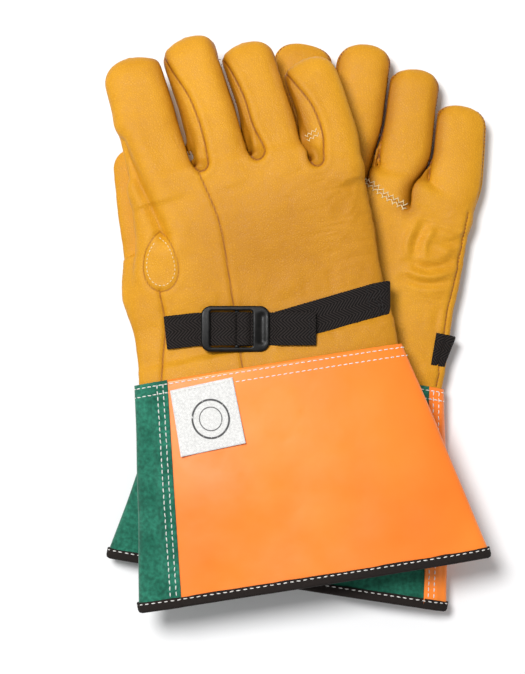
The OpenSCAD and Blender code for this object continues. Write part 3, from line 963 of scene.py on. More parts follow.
def make_binding(glove, cuff, outer, mats):
    """Folded tape round the mouth, with one row of stitches through it."""
    line, out = ring_line(cuff, outer, 3.0)
    down = np.array([0.0, 1.0, 0.0])
    count = len(line)
    wobble = 0.3 * value_noise(line * [1, 0, 3], 9, glove.seed + 30)
    tape = 0.75
    inner = -SUEDE_T - LIFT - tape
    profile = np.array([
        [tape, BINDING_H], [tape + 0.12, BINDING_H - 1.2], [tape + 0.12, 1.2], [tape * 0.5, -0.3],
        [inner * 0.45, -0.85], [inner + 0.3, -0.3], [inner, 1.2], [inner, BINDING_H],
        [inner + tape, BINDING_H], [inner + tape, 1.0], [-0.2, 1.0], [0.0, BINDING_H - 0.2]])
    rows = []
    for n, up in profile:
        rise = (up - 3.0) + wobble * (up > 3)
        rows.append(line + out * (n + 0.2 * wobble[:, None]) + down * rise[:, None])
    grid = np.array(rows)
    faces = np.vstack([grid_faces(len(profile), count, wrap=True),
                       last_row(len(profile), count)])
    obj = add_mesh(glove.node("cuff_binding_tape"), glove, grid.reshape(-1, 3), faces[:, ::-1], mats["binding_tape"])
    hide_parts(glove.node("cuff_binding"))
    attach(obj, glove.hand)
    at, normals = ring_line(cuff, outer, BINDING_H - 1.4)
    row = running_stitches(glove.node("binding_stitches"), glove, at + normals * (tape + 0.1), normals,
                           mats["white_thread"], 2.8, 1.4, 0.32)
    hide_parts(glove.node("binding_thread"))
    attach(row, glove.hand)


def last_row(rows, columns):
    """The quads that close a wrapped grid from its last row back to its first."""
    c = np.arange(columns)
    after = (c + 1) % columns
    last = (rows - 1) * columns
    return np.stack([last + c, last + after, after, c], 1)


def make_cuff_threads(glove, cuff, outer, mats):
    rows = []
    for k, drop in enumerate((2.0, 7.4)):
        points, normals = ring_line(cuff, outer, glove.cuff_len - drop)
        rows.append(running_stitches(f"row{k}", glove, points, normals, mats["white_thread"]))
    for k, inset in enumerate((2.8, 6.6)):
        levels = np.arange(BINDING_H + 1, glove.cuff_len - 0.5, 0.8)
        for which in (0, 1):
            line, ways = [], []
            for level in levels:
                points, along = cuff.loop(level)
                at = cuff.seam(level, which) - inset
                here = np.array([np.interp(at, along, points[:, a]) for a in range(3)])
                ahead = np.array([np.interp(at + 1, along, points[:, a]) for a in range(3)]) - here
                line.append(here)
                ways.append([-ahead[2], 0, ahead[0]])
            ways = unit(np.array(ways))
            points, normals = outer.cast(np.array(line) + ways * 12, -ways)
            rows.append(running_stitches(f"column{k}{which}", glove, points, normals, mats["white_thread"]))
    obj = joined(glove.node("cuff_stitches"), rows)
    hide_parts(glove.node("cuff_thread"))
    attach(obj, glove.hand)


def make_label(glove, outer, mats):
    """A cloth label, sewn along its top edge and curling a little at its free corners."""
    cloud = glove.node_points(glove.node("label"))
    low, high = cloud.min(0), cloud.max(0)
    columns, rows = 44, 46
    x, y = np.meshgrid(np.linspace(low[0], high[0], columns), np.linspace(low[1], high[1], rows))
    down = (high[1] - y) / (high[1] - low[1])
    x = x - 1.6 * down * (1 - (x - low[0]) / (high[0] - low[0]) * 0.7)
    points, _ = outer.lay(np.column_stack([x.ravel(), y.ravel()]))
    z = points[:, 2].reshape(rows, columns)
    z = np.maximum(z, cloud[:, 2].min() - 1)
    for _ in range(6):
        z[1:-1, 1:-1] = (z[:-2, 1:-1] + z[2:, 1:-1] + z[1:-1, :-2] + z[1:-1, 2:] + 2 * z[1:-1, 1:-1]) / 6
    side = np.abs((x - x.mean()) / (high[0] - low[0]) * 2)
    curl = 1.7 * down ** 3 * side ** 4 + 0.5 * smooth(down * 2) * (0.6 + 0.4 * np.sin(x / 7 + 1))
    grid = np.stack([x, y, z + 1.0 + curl], -1).reshape(-1, 3)
    faces = grid_faces(rows, columns)
    normals = vertex_normals(grid, faces)
    shell, shell_faces = thicken(grid, faces, normals, 0.55)
    uv = np.column_stack([(x.ravel() - low[0]) / (high[0] - low[0]), 1 - down.ravel()])
    obj = add_mesh(glove.node("label_cloth"), glove, shell, shell_faces, mats["label_cloth"], uv=np.tile(uv, (2, 1)))
    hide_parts(glove.node("label"))
    row = grid.reshape(rows, columns, 3)[-3]
    at = curve(row[2:-2], 0.8)
    up = np.tile([0, 0, 1.0], (len(at), 1))
    stitches = running_stitches(glove.node("label_stitches"), glove, at, up, mats["white_thread"], 2.2, 0.9, 0.28)
    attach(stitches, glove.hand)
    if glove.side == "right":
        middle = (low[0] + high[0]) / 2
        ends = [tuple(glove.world([middle, high[1] - d, high[2]])) for d in (1.0, 9.0)]
        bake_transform(obj)
    else:
        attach(obj, glove.hand)


# ---------------------------------------------------------------- strap and buckle

WEB_T = 1.3
UV_MM = 25.0
WEB_W = 21.0


def ribbon(name, glove, path, across, material, width=WEB_W, thick=WEB_T):
    """Webbing along a path: a closed band with thin rounded selvages."""
    along = unit(np.gradient(path, axis=0))
    across = np.broadcast_to(across, path.shape)
    across = unit(across - along * (across * along).sum(1)[:, None])
    up = np.cross(across, along)
    up = up * np.where(up[:, 2:] < 0, -1, 1) if np.median(up[:, 2]) < 0 else up
    half = width / 2
    line = np.array([-1, -0.985, -0.93, -0.8, -0.55, -0.25, 0, 0.25, 0.55, 0.8, 0.93, 0.985, 1]) * half
    crown = thick / 2 * np.array([0.3, 0.72, 0.86, 1, 1, 1, 1, 1, 1, 1, 0.86, 0.72, 0.3])
    ring = np.array(list(zip(line, crown)) + list(zip(line[::-1], -crown[::-1])))
    length = np.concatenate([[0], np.cumsum(np.linalg.norm(np.diff(path, axis=0), axis=1))])
    scallop = 1 + 0.012 * np.sin(length * 2 * np.pi / 1.6)
    verts = (path[:, None] + across[:, None] * (ring[None, :, :1] * scallop[:, None, None])
             + up[:, None] * ring[None, :, 1:])
    rows, columns = verts.shape[:2]
    faces = grid_faces(rows, columns, wrap=True)
    caps = []
    for row, turn in ((0, 1), (rows - 1, -1)):
        for k in range(len(line) - 1):
            quad = [row * columns + k, row * columns + columns - 1 - k, row * columns + columns - 2 - k,
                    row * columns + k + 1]
            caps.append(quad[::turn])
    faces = np.vstack([faces, caps])
    uv = np.stack(np.broadcast_arrays(length[:, None], ring[None, :, 0]), -1).reshape(-1, 2) / UV_MM
    flat = verts.reshape(-1, 3)
    middle = flat[faces].mean(1)
    rings_mid = np.repeat(path[:-1], columns, 0)
    tube = vertex_side(flat, faces[:len(rings_mid)], middle[:len(rings_mid)] - rings_mid)
    return add_mesh(name, glove, flat, faces if tube > 0 else faces[:, ::-1], material, uv=uv)


def vertex_side(verts, faces, outward):
    """Above 0 when the faces turn the same way as the outward directions."""
    cross = np.cross(verts[faces[:, 2]] - verts[faces[:, 0]], verts[faces[:, 3]] - verts[faces[:, 1]])
    return (cross * outward).sum()


class BuckleFrame:
    """The buckle's own frame, from its CAD node: t along the strap, p across it, h up from its underside."""

    def __init__(self, glove):
        cloud = glove.node_points(glove.node("buckle"))
        flat = cloud[:, :2]
        turns = np.radians(np.arange(-30, 30, 0.25))
        width = [np.ptp(flat[:, 1] * math.cos(a) - flat[:, 0] * math.sin(a)) for a in turns]
        turn = turns[int(np.argmin(width))]
        self.long_axis = np.array([math.cos(turn), math.sin(turn)])
        self.cross_axis = np.array([-self.long_axis[1], self.long_axis[0]])
        turned = flat @ np.array([self.long_axis, self.cross_axis]).T
        self.centre = (turned.max(0) + turned.min(0)) / 2 @ np.array([self.long_axis, self.cross_axis])
        self.reach = np.abs((flat - self.centre) @ self.long_axis).max()
        self.half_w = np.abs((flat - self.centre) @ self.cross_axis).max()
        self.low, self.top = cloud[:, 2].min(), cloud[:, 2].max()
        self.lock = self.reach - 10.4

    def plan(self, t, p=0.0):
        return self.centre + self.long_axis * t + self.cross_axis * p

    def at(self, t, h):
        return [*self.plan(t), self.low + h]


def rounded_box(x, y, z, middle, half, radius):
    q = [np.abs(v - m) - h + radius for v, m, h in zip((x, y, z), middle, half)]
    outside = np.sqrt(sum(np.maximum(v, 0) ** 2 for v in q))
    return outside + np.minimum(np.maximum(np.maximum(q[0], q[1]), q[2]), 0) - radius


def make_buckle(glove, b, mats):
    """A moulded slide: a rounded frame, a low middle bar and a wide dished lever at one end."""
    step = 0.36
    low = np.array([-b.reach - 1, -b.half_w - 1, -1.0])
    high = np.array([b.reach + 1, b.half_w + 1, b.top - b.low + 2])
    x, y, z = np.meshgrid(*(np.arange(p, q, step) for p, q in zip(low, high)), indexing="ij")
    tall = b.top - b.low
    arch = z - 0.5 * (1 - (y / b.half_w) ** 2)
    plan = rounded_box(x, y, z * 0, (0, 0, 0), (b.reach, b.half_w, 9), 6.0)
    slab = np.abs(arch - tall / 2) - tall / 2
    body = soft_max(plan, slab, 1.2)
    window = rounded_box(x, y, z * 0, ((b.lock - b.reach + 5.6) / 2, 0, 0),
                         ((b.lock + b.reach - 5.6) / 2, b.half_w - 2.9, 9), 1.6)
    body = soft_max(body, -window, 0.8)
    tunnel = np.maximum(np.maximum(np.abs(y) - (WEB_W / 2 + 0.5), b.lock - 3 - x), z - 1.75)
    body = soft_max(body, -tunnel, 0.4)
    dish = 0.9 * np.exp(-((x - b.lock - 5.6) / 2.6) ** 2) * smooth((b.half_w - 3 - np.abs(y)) / 4)
    body = soft_max(body, arch - tall + dish, 0.4)
    bar = rounded_box(x, y, z, (1.0, 0, 1.1), (1.3, b.half_w - 2, 0.7), 0.5)
    body = soft_min(body, bar, 0.4)
    verts, faces = surface_net(body, low, step)
    verts = relax(verts, faces, 2)
    local = np.column_stack([b.plan(0) + verts[:, :1] * b.long_axis + verts[:, 1:2] * b.cross_axis,
                             verts[:, 2] + b.low])
    obj = add_mesh(glove.node("buckle_slide"), glove, local, faces, mats["black_plastic"])
    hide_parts(glove.node("buckle"))
    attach(obj, "right_buckle" if glove.side == "right" else glove.hand)


def web_end(cloud, far):
    """Middle of a web's sewn end: the end with the greatest x, or the least."""
    edge = cloud[:, 0].max() if far else cloud[:, 0].min()
    band = cloud[np.abs(cloud[:, 0] - edge) < 4]
    return np.array([edge, (band[:, 1].max() + band[:, 1].min()) / 2])


def round_edge(skin, end, lift):
    """Points of a web that comes round the far side of the hand from the palm."""
    middle = np.array([end[0] - 9, end[1], skin.lay(np.array([end]))[0][0, 2] - 6])
    turn = np.radians(np.linspace(-52, 42, 15))
    ways = np.column_stack([np.cos(turn), np.zeros(15), np.sin(turn)])
    points, normals = skin.cast(middle + ways * 30, -ways)
    return points + unit(normals * [1, 0, 1]) * lift


def make_strap(glove, skin, mats):
    """The wrist strap: a short web to the buckle, the web through it, the long web and the free tail."""
    b = BuckleFrame(glove)
    make_buckle(glove, b, mats)
    tail = glove.node_points(glove.node("strap_tail"))
    tail_end = ((tail[:, :2] - b.centre) @ b.long_axis).max()
    short_end = web_end(glove.node_points(glove.node("strap_anchor")), False)
    long_end = web_end(glove.node_points(glove.node("strap")), True)
    across = np.array([*b.cross_axis, 0])

    def on_skin(start, end, count, lift, travel=0.0):
        """A web's path over the leather, clear of all that lies under its width and up to a travel ahead."""
        plan = start + (end - start) * np.linspace(0, 1, count)[:, None]
        points, _ = skin.lay(plan)
        under = [skin.lay(plan + unit(end - start) * ahead + b.cross_axis * o)[0][:, 2]
                 for ahead in np.linspace(0, travel, 5 if travel else 1)
                 for o in np.linspace(-0.9, 0.9, 7) * WEB_W / 2]
        height = np.max(under, 0) - 0.3 + lift
        points[:, 2] = np.convolve(np.pad(height, 4, mode="edge"), np.ones(9) / 9, "valid")
        return points

    def web(name, path, node, side_step=0.9):
        obj = ribbon(glove.node(name), glove, curve(path, side_step), across, mats["black_webbing"])
        if node:
            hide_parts(glove.node(node))
        return obj

    bed = WEB_T / 2 + 0.15
    buckle_body = "right_buckle" if glove.side == "right" else glove.hand

    def bend_to_buckle(obj, start, end):
        if glove.side == "right":
            ends = [tuple(glove.world(b.at(t, 0))) for t in (start, end)]
            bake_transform(obj)
        else:
            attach(obj, glove.hand)

    r = b.reach
    short = on_skin(short_end, b.plan(-r - 3), 26, bed)
    through = [b.at(-r + 2, -0.9), b.at(-r + 6.2, 0.3), b.at(-r + 9.5, 2.0), b.at(-6.0, 2.75), b.at(-1.6, 2.5),
               b.at(0.4, 1.5)]
    bend_to_buckle(web("strap_anchor_web", np.vstack([short, through]), "strap_anchor"), -r - 14, -r + 7)
    over = [b.at(0.6, 0.9), b.at(2.2, 2.5), b.at(4.6, 3.1), b.at(7.2, 2.7), b.at(9.2, 1.2), b.at(10.0, -0.2)]
    obj = web("buckle_web", np.array(over), None, 0.7)
    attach(obj, buckle_body)
    long_web = np.vstack([round_edge(skin, long_end, bed), on_skin(long_end - [5, 0], b.plan(r + 4), 42, bed)])
    under = [b.at(r - 1, -0.75), b.at(b.lock + 1, -0.75), b.at(b.lock - 6, -0.75), b.at(0, -0.75)]
    bend_to_buckle(web("strap_web", np.vstack([long_web, under]), "strap"), r + 26, r)
    rest = on_skin(b.plan(r + 7), b.plan(tail_end), 14, WEB_T * 1.5 + 0.5, 20.0)
    hidden = [b.at(-1, 0.75), b.at(b.lock, 0.9), b.at(r - 1, 0.95), b.at(r + 2.5, 0.75)]
    tail_path = np.vstack([hidden, rest])
    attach(web("strap_tail_web", tail_path, "strap_tail"), glove.side + "_strap_tail")
    hem_at = tail_end - 4.2
    hem_z = np.interp(hem_at, np.linspace(r + 7, tail_end, len(rest)), rest[:, 2]) + WEB_T / 2 + 0.1
    hem = np.linspace([*b.plan(hem_at, -9), hem_z], [*b.plan(hem_at, 9), hem_z], 24)
    hem_row = running_stitches(glove.node("tail_stitches"), glove, hem, np.tile([0, 0, 1.0], (len(hem), 1)),
                               mats["black_thread"], 2.0, 0.8, 0.26)
    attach(hem_row, glove.side + "_strap_tail")
    make_strap_threads(glove, skin, mats, short_end, long_end)


def make_strap_threads(glove, skin, mats, short_end, long_end):
    """Box stitching where each web is sewn down."""
    rows = []
    for k, (spot, way) in enumerate(((short_end, 1), (long_end, -1))):
        x0 = spot[0] + way * 2.5
        corners = np.array([[x0, -8.5], [x0 + way * 8, -8.5], [x0 + way * 8, 8.5], [x0, 8.5], [x0, -8.5],
                            [x0 + way * 8, 8.5]])
        corners[:, 1] += spot[1]
        line = np.vstack([np.linspace(p, q, 16) for p, q in zip(corners[:-1], corners[1:])])
        points, normals = skin.lay(line)
        points[:, 2] += WEB_T + 0.35
        rows.append(running_stitches(f"box{k}", glove, points, normals, mats["black_thread"], 2.2, 0.8, 0.28))
    obj = joined(glove.node("strap_stitches"), rows)
    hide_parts(glove.node("strap_thread"))
    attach(obj, glove.hand)


def leather_threads(glove, skin, mats):
    """The topstitching that shows on the leather."""
    drop = hand_seams(glove)["drop"]
    inset = np.mean(drop, 0) + (drop - np.mean(drop, 0)) * 0.80
    points, normals = skin.lay(curve(inset[::4], 0.8))
    row = running_stitches(glove.node("gusset_stitches"), glove, points, normals, mats["cream_thread"], 1.7, 0.9, 0.26)
    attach(row, glove.hand)
    line = gunn_line(glove)[::-1]
    line = line[:int(len(line) * 0.58)]
    rows = []
    for off in (-1.5, 1.5):
        points, normals = skin.lay(curve(line[::4] + [0, off], 0.8), -1.0)
        rows.append(running_stitches("row", glove, points, normals, mats["cream_thread"], 3.0, -1.1, 0.4, zigzag=1.15))
    obj = joined(glove.node("palm_seam_stitches"), rows)
    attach(obj, glove.hand)


def finger_edge(f, start, side):
    """Points on the seam between a finger's front and its strips, from the root to the tip."""
    v = np.arange(start, f.length - 0.6, 0.7)
    share = v / f.length
    over = np.maximum(v - (f.length - TIP_LEN), 0) / TIP_LEN
    turn = math.radians(EDGE_ANGLE)
    reach = np.maximum(1 - over ** 2.3, 0) ** (1 / FINGER_POWER)
    reach = reach / (math.sin(turn) ** FINGER_POWER + abs(math.cos(turn)) ** FINGER_POWER) ** (1 / FINGER_POWER)
    plan = f.plan(side * f.half_w(v) * reach * math.sin(turn), v)
    height = f.z_mid - DROOP * share ** 2 + f.half_h * (1 - 0.12 * share) * reach * math.cos(turn)
    return np.column_stack([plan, height])


def hand_edge(glove):
    """The seam down the far side of the palm, from the little finger to the cuff, in plan."""
    y = np.linspace(glove.cuff_len + 3, glove.fingers[3].root[1] + 4, 30)
    half_w, middle, _, _, _ = hand_profile(glove, y)
    return np.column_stack([middle + 0.955 * half_w, y])


def edge_threads(glove, skin, finger_skins, mats):
    """Fine stitches round the fingers' edges, down the palm's far side, and the little finger's pieced band."""
    for k, f in enumerate(glove.fingers):
        start = finger_cut(glove, k)
        rows = []
        for side in (-1, 1):
            points, normals = finger_skins[k].nearest(finger_edge(f, start + 4, side))
            rows.append(running_stitches("row", glove, points, normals, mats["brown_thread"], 1.5, 1.0, 0.22))
        if f.name == "little":
            across = np.linspace(-0.9, -0.36, 16)
            for v in (23.0, 26.2):
                plan = f.plan(across * f.half_w(v), v + 3 * (across + 0.6))
                points, normals = finger_skins[k].lay(plan)
                rows.append(running_stitches("row", glove, points, normals, mats["cream_thread"], 2.2, -0.7, 0.32,
                                             zigzag=1.1))
        obj = joined(glove.node(f"{f.name}_stitches"), rows)
        blend_finger(glove, obj, f, start)
    points, normals = skin.lay(curve(hand_edge(glove), 0.7), -1.0)
    row = running_stitches(glove.node("side_stitches"), glove, points, normals, mats["brown_thread"], 1.5, 1.0, 0.22)
    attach(row, glove.hand)


# ---------------------------------------------------------------- materials

def node_material(name):
    mat = bpy.data.materials.new(name)
    mat.use_nodes = True
    tree = mat.node_tree
    shader = tree.nodes["Principled BSDF"]
    return mat, tree, shader


def texture(tree, kind, scale, vector, detail=2.0, **settings):
    tex = tree.nodes.new(kind)
    tex.inputs["Scale"].default_value = scale
    if "Detail" in tex.inputs:
        tex.inputs["Detail"].default_value = detail
    for key, value in settings.items():
        setattr(tex, key, value)
    tree.links.new(vector, tex.inputs["Vector"])
    return tex


def ramp(tree, source, stops):
    node = tree.nodes.new("ShaderNodeValToRGB")
    elements = node.color_ramp.elements
    while len(elements) < len(stops):
        elements.new(0.5)
    for element, (position, colour) in zip(elements, stops):
        element.position = position
        element.color = (*colour, 1)
    tree.links.new(source, node.inputs["Fac"])
    return node


def mix(tree, factor, a, b, blend="MIX"):
    node = tree.nodes.new("ShaderNodeMix")
    node.data_type = "RGBA"
    node.blend_type = blend
    for socket, value in ((node.inputs["Factor"], factor), (node.inputs["A"], a), (node.inputs["B"], b)):
        if isinstance(value, bpy.types.NodeSocket):
            tree.links.new(value, socket)
        elif isinstance(value, (int, float)):
            socket.default_value = value
        else:
            socket.default_value = (*value, 1)
    return node.outputs["Result"]


def bump(tree, height, strength, distance, previous=None):
    node = tree.nodes.new("ShaderNodeBump")
    node.inputs["Strength"].default_value = strength
    node.inputs["Distance"].default_value = distance
    tree.links.new(height, node.inputs["Height"])
    if previous is not None:
        tree.links.new(previous, node.inputs["Normal"])
    return node.outputs["Normal"]


def leather_material(name="golden_leather", base=(0.735, 0.355, 0.014), deep=(0.575, 0.254, 0.008)):
    mat, tree, shader = node_material(name)
    link = tree.links.new
    coord = tree.nodes.new("ShaderNodeTexCoord").outputs["Object"]
    cloudy = texture(tree, "ShaderNodeTexNoise", 26, coord, 3.0)
    mottled = texture(tree, "ShaderNodeTexNoise", 160, coord, 4.0)
    grain = texture(tree, "ShaderNodeTexVoronoi", 720, coord, feature="DISTANCE_TO_EDGE")
    pores = texture(tree, "ShaderNodeTexNoise", 1500, coord, 3.0)
    tone = ramp(tree, cloudy.outputs["Fac"], [(0.3, deep), (0.7, base)])
    colour = mix(tree, 0.45, tone.outputs["Color"], base)
    speck = ramp(tree, mottled.outputs["Fac"], [(0.3, (0.95, 0.93, 0.9)), (0.7, (1, 1, 1))])
    colour = mix(tree, 1.0, colour, speck.outputs["Color"], "MULTIPLY")
    cells = ramp(tree, grain.outputs["Distance"], [(0.0, (0.84, 0.78, 0.70)), (0.22, (1, 1, 1))])
    colour = mix(tree, 1.0, colour, cells.outputs["Color"], "MULTIPLY")
    # Painted shadow along the seam grooves and the thumb crease, from the seam attribute.
    seam = tree.nodes.new("ShaderNodeAttribute")
    seam.attribute_name = "seam"
    shade = ramp(tree, seam.outputs["Fac"], [(0.2, (1, 1, 1)), (1.0, (0.36, 0.2, 0.1))])
    colour = mix(tree, 1.0, colour, shade.outputs["Color"], "MULTIPLY")
    # Painted shade near the slits and over the back of the hand, multiplied into the leather's colour.
    painted_shade = tree.nodes.new("ShaderNodeAttribute")
    painted_shade.attribute_name = "painted_shade"
    painted_shade_tint = ramp(tree, painted_shade.outputs["Fac"], [(0.0, (1, 1, 1)), (1.0, (0.62, 0.5, 0.4))])
    colour = mix(tree, 1.0, colour, painted_shade_tint.outputs["Color"], "MULTIPLY")
    link(colour, shader.inputs["Base Color"])
    rough = ramp(tree, mottled.outputs["Fac"], [(0.3, (0.42,) * 3), (0.7, (0.56,) * 3)])
    link(rough.outputs["Color"], shader.inputs["Roughness"])
    shader.inputs["Specular IOR Level"].default_value = 0.24
    normal = bump(tree, cells.outputs["Color"], 0.8, 0.0008)
    normal = bump(tree, mottled.outputs["Fac"], 0.3, 0.0012, normal)
    normal = bump(tree, pores.outputs["Fac"], 0.3, 0.0003, normal)
    link(normal, shader.inputs["Normal"])
    return mat


def vinyl_material():
    """Coated cloth: glossy, a little cloudy, with the weave just showing through."""
    mat, tree, shader = node_material("orange_vinyl")
    coord = tree.nodes.new("ShaderNodeTexCoord").outputs["Object"]
    cloudy = texture(tree, "ShaderNodeTexNoise", 14, coord, 3.0)
    fine = texture(tree, "ShaderNodeTexNoise", 900, coord, 2.0)
    dents = texture(tree, "ShaderNodeTexNoise", 60, coord, 2.0)
    tone = ramp(tree, cloudy.outputs["Fac"], [(0.3, (0.90, 0.190, 0.016)), (0.7, (0.97, 0.245, 0.026))])
    tree.links.new(tone.outputs["Color"], shader.inputs["Base Color"])
    rough = ramp(tree, dents.outputs["Fac"], [(0.3, (0.30,) * 3), (0.7, (0.42,) * 3)])
    tree.links.new(rough.outputs["Color"], shader.inputs["Roughness"])
    shader.inputs["Specular IOR Level"].default_value = 0.36
    normal = bump(tree, fine.outputs["Fac"], 0.12, 0.0002)
    normal = bump(tree, dents.outputs["Fac"], 0.25, 0.0008, normal)
    tree.links.new(normal, shader.inputs["Normal"])
    return mat


def suede_material():
    mat, tree, shader = node_material("green_suede")
    coord = tree.nodes.new("ShaderNodeTexCoord").outputs["Object"]
    nap = texture(tree, "ShaderNodeTexNoise", 420, coord, 6.0)
    brushed = texture(tree, "ShaderNodeTexNoise", 60, coord, 3.0)
    tone = ramp(tree, brushed.outputs["Fac"], [(0.3, (0.014, 0.125, 0.078)), (0.7, (0.028, 0.195, 0.125))])
    fleck = ramp(tree, nap.outputs["Fac"], [(0.35, (0.6, 0.6, 0.6)), (0.7, (1.15, 1.15, 1.15))])
    colour = mix(tree, 1.0, tone.outputs["Color"], fleck.outputs["Color"], "MULTIPLY")
    tree.links.new(colour, shader.inputs["Base Color"])
    shader.inputs["Roughness"].default_value = 0.95
    shader.inputs["Specular IOR Level"].default_value = 0.1
    shader.inputs["Sheen Weight"].default_value = 0.25
    tree.links.new(bump(tree, nap.outputs["Fac"], 0.6, 0.0006), shader.inputs["Normal"])
    return mat


def woven_material(name, colour, scale, strength, roughness=0.85, twill=0.0, use_uv=False):
    """Plain or twill weave: warp and weft waves laid over each other, with fuzz."""
    mat, tree, shader = node_material(name)
    coords = tree.nodes.new("ShaderNodeTexCoord")
    coord = coords.outputs["UV" if use_uv else "Object"]
    waves = []
    for turn in (twill, 90 + twill):
        mapping = tree.nodes.new("ShaderNodeMapping")
        mapping.inputs["Rotation"].default_value = (0, 0, math.radians(turn))
        tree.links.new(coord, mapping.inputs["Vector"])
        wave = texture(tree, "ShaderNodeTexWave", scale, mapping.outputs["Vector"], 1.0)
        wave.inputs["Distortion"].default_value = 0.4
        waves.append(wave.outputs["Fac"])
    weave = mix(tree, 0.5, waves[0], waves[1])
    fuzz = texture(tree, "ShaderNodeTexNoise", 700, coords.outputs["Object"], 4.0)
    dark = tuple(0.55 * c for c in colour)
    light_colour = tuple(min(1.0, 1.12 * c) for c in colour)
    tone = ramp(tree, weave, [(0.2, dark), (0.8, light_colour)])
    speck = ramp(tree, fuzz.outputs["Fac"], [(0.3, (0.82,) * 3), (0.7, (1.05,) * 3)])
    tree.links.new(mix(tree, 1.0, tone.outputs["Color"], speck.outputs["Color"], "MULTIPLY"),
                   shader.inputs["Base Color"])
    shader.inputs["Roughness"].default_value = roughness
    shader.inputs["Specular IOR Level"].default_value = 0.2
    normal = bump(tree, weave, strength, 0.0004)
    tree.links.new(bump(tree, fuzz.outputs["Fac"], 0.2, 0.0003, normal), shader.inputs["Normal"])
    return mat, tree, shader


def webbing_material():
    """Black herringbone: ribs that run to and fro across the width. UVs are in units of UV_MM."""
    mat, tree, shader = node_material("black_webbing")
    coords = tree.nodes.new("ShaderNodeTexCoord")
    split = tree.nodes.new("ShaderNodeSeparateXYZ")
    tree.links.new(coords.outputs["UV"], split.inputs[0])

    def maths(operation, a, b=None):
        node = tree.nodes.new("ShaderNodeMath")
        node.operation = operation
        for socket, value in zip(node.inputs, (a, b)):
            if isinstance(value, bpy.types.NodeSocket):
                tree.links.new(value, socket)
            elif value is not None:
                socket.default_value = value
        return node.outputs[0]

    fold = maths("PINGPONG", split.outputs["Y"], 5.25 / UV_MM)
    slant = maths("ADD", split.outputs["X"], maths("MULTIPLY", fold, 1.1))
    rib = maths("SINE", maths("MULTIPLY", slant, 2 * math.pi * UV_MM / 2.2))
    yarn = maths("SINE", maths("MULTIPLY", split.outputs["Y"], 2 * math.pi * UV_MM / 0.8))
    height = maths("ADD", maths("MULTIPLY", rib, 0.4), maths("MULTIPLY", yarn, 0.12))
    raised = maths("ADD", height, 0.5)
    tone = ramp(tree, raised, [(0.1, (0.0012, 0.001, 0.001)), (0.9, (0.03, 0.024, 0.022))])
    tree.links.new(tone.outputs["Color"], shader.inputs["Base Color"])
    shader.inputs["Roughness"].default_value = 0.75
    shader.inputs["Specular IOR Level"].default_value = 0.15
    fuzz = texture(tree, "ShaderNodeTexNoise", 1500, coords.outputs["Object"], 3.0)
    normal = bump(tree, raised, 0.9, 0.0005)
    tree.links.new(bump(tree, fuzz.outputs["Fac"], 0.3, 0.0003, normal), shader.inputs["Normal"])
    return mat


def label_material():
    """White label cloth with a mark of two printed rings, worn at the edges."""
    mat, tree, shader = woven_material("label_cloth", (0.85, 0.845, 0.825), 60, 0.06, use_uv=True)
    cloth = shader.inputs["Base Color"].links[0].from_socket
    uv = tree.nodes.new("ShaderNodeTexCoord").outputs["UV"]
    centred = tree.nodes.new("ShaderNodeVectorMath")
    centred.operation = "DISTANCE"
    centred.inputs[1].default_value = (0.535, 0.46, 0)
    tree.links.new(uv, centred.inputs[0])
    ring = ramp(tree, centred.outputs["Value"], [
        (0.0, (0,) * 3), (0.165, (0,) * 3), (0.170, (1,) * 3), (0.180, (1,) * 3), (0.185, (0,) * 3),
        (0.268, (0,) * 3), (0.274, (1,) * 3), (0.298, (1,) * 3), (0.304, (0,) * 3)])
    wear = texture(tree, "ShaderNodeTexNoise", 500, tree.nodes["Texture Coordinate"].outputs["Object"], 3.0)
    kept = ramp(tree, wear.outputs["Fac"], [(0.28, (0,) * 3), (0.4, (0.92,) * 3)])
    ink = mix(tree, 1.0, ring.outputs["Color"], kept.outputs["Color"], "MULTIPLY")
    tree.links.new(mix(tree, ink, cloth, (0.025, 0.025, 0.028)), shader.inputs["Base Color"])
    return mat


def thread_material(name, colour):
    mat, tree, shader = node_material(name)
    coord = tree.nodes.new("ShaderNodeTexCoord").outputs["Object"]
    twist = texture(tree, "ShaderNodeTexNoise", 1800, coord, 2.0)
    tone = ramp(tree, twist.outputs["Fac"], [(0.3, tuple(0.7 * c for c in colour)), (0.7, colour)])
    tree.links.new(tone.outputs["Color"], shader.inputs["Base Color"])
    shader.inputs["Roughness"].default_value = 0.7
    tree.links.new(bump(tree, twist.outputs["Fac"], 0.4, 0.0003), shader.inputs["Normal"])
    return mat


def plastic_material():
    mat, tree, shader = node_material("black_plastic")
    coord = tree.nodes.new("ShaderNodeTexCoord").outputs["Object"]
    scuffs = texture(tree, "ShaderNodeTexNoise", 300, coord, 5.0)
    pits = texture(tree, "ShaderNodeTexNoise", 2200, coord, 2.0)
    tone = ramp(tree, scuffs.outputs["Fac"], [(0.3, (0.003, 0.003, 0.003)), (0.75, (0.008, 0.0075, 0.007))])
    tree.links.new(tone.outputs["Color"], shader.inputs["Base Color"])
    shader.inputs["Specular IOR Level"].default_value = 0.13
    rough = ramp(tree, scuffs.outputs["Fac"], [(0.3, (0.28,) * 3), (0.7, (0.42,) * 3)])
    tree.links.new(rough.outputs["Color"], shader.inputs["Roughness"])
    tree.links.new(bump(tree, pits.outputs["Fac"], 0.15, 0.0002), shader.inputs["Normal"])
    return mat


def make_materials():
    return {
        "leather": leather_material(),
        "orange_vinyl": vinyl_material(),
        "green_suede": suede_material(),
        "backing": woven_material("white_backing", (0.74, 0.72, 0.68), 700, 0.4)[0],
        "binding_tape": woven_material("binding_tape", (0.022, 0.016, 0.014), 640, 0.5)[0],
        "black_webbing": webbing_material(),
        "white_thread": thread_material("white_thread", (0.86, 0.84, 0.80)),
        "cream_thread": thread_material("cream_thread", (0.90, 0.74, 0.42)),
        "brown_thread": thread_material("brown_thread", (0.28, 0.07, 0.03)),
        "black_thread": thread_material("black_thread", (0.008, 0.007, 0.007)),
        "label_cloth": label_material(),
        "black_plastic": plastic_material()}


# ---------------------------------------------------------------- stage

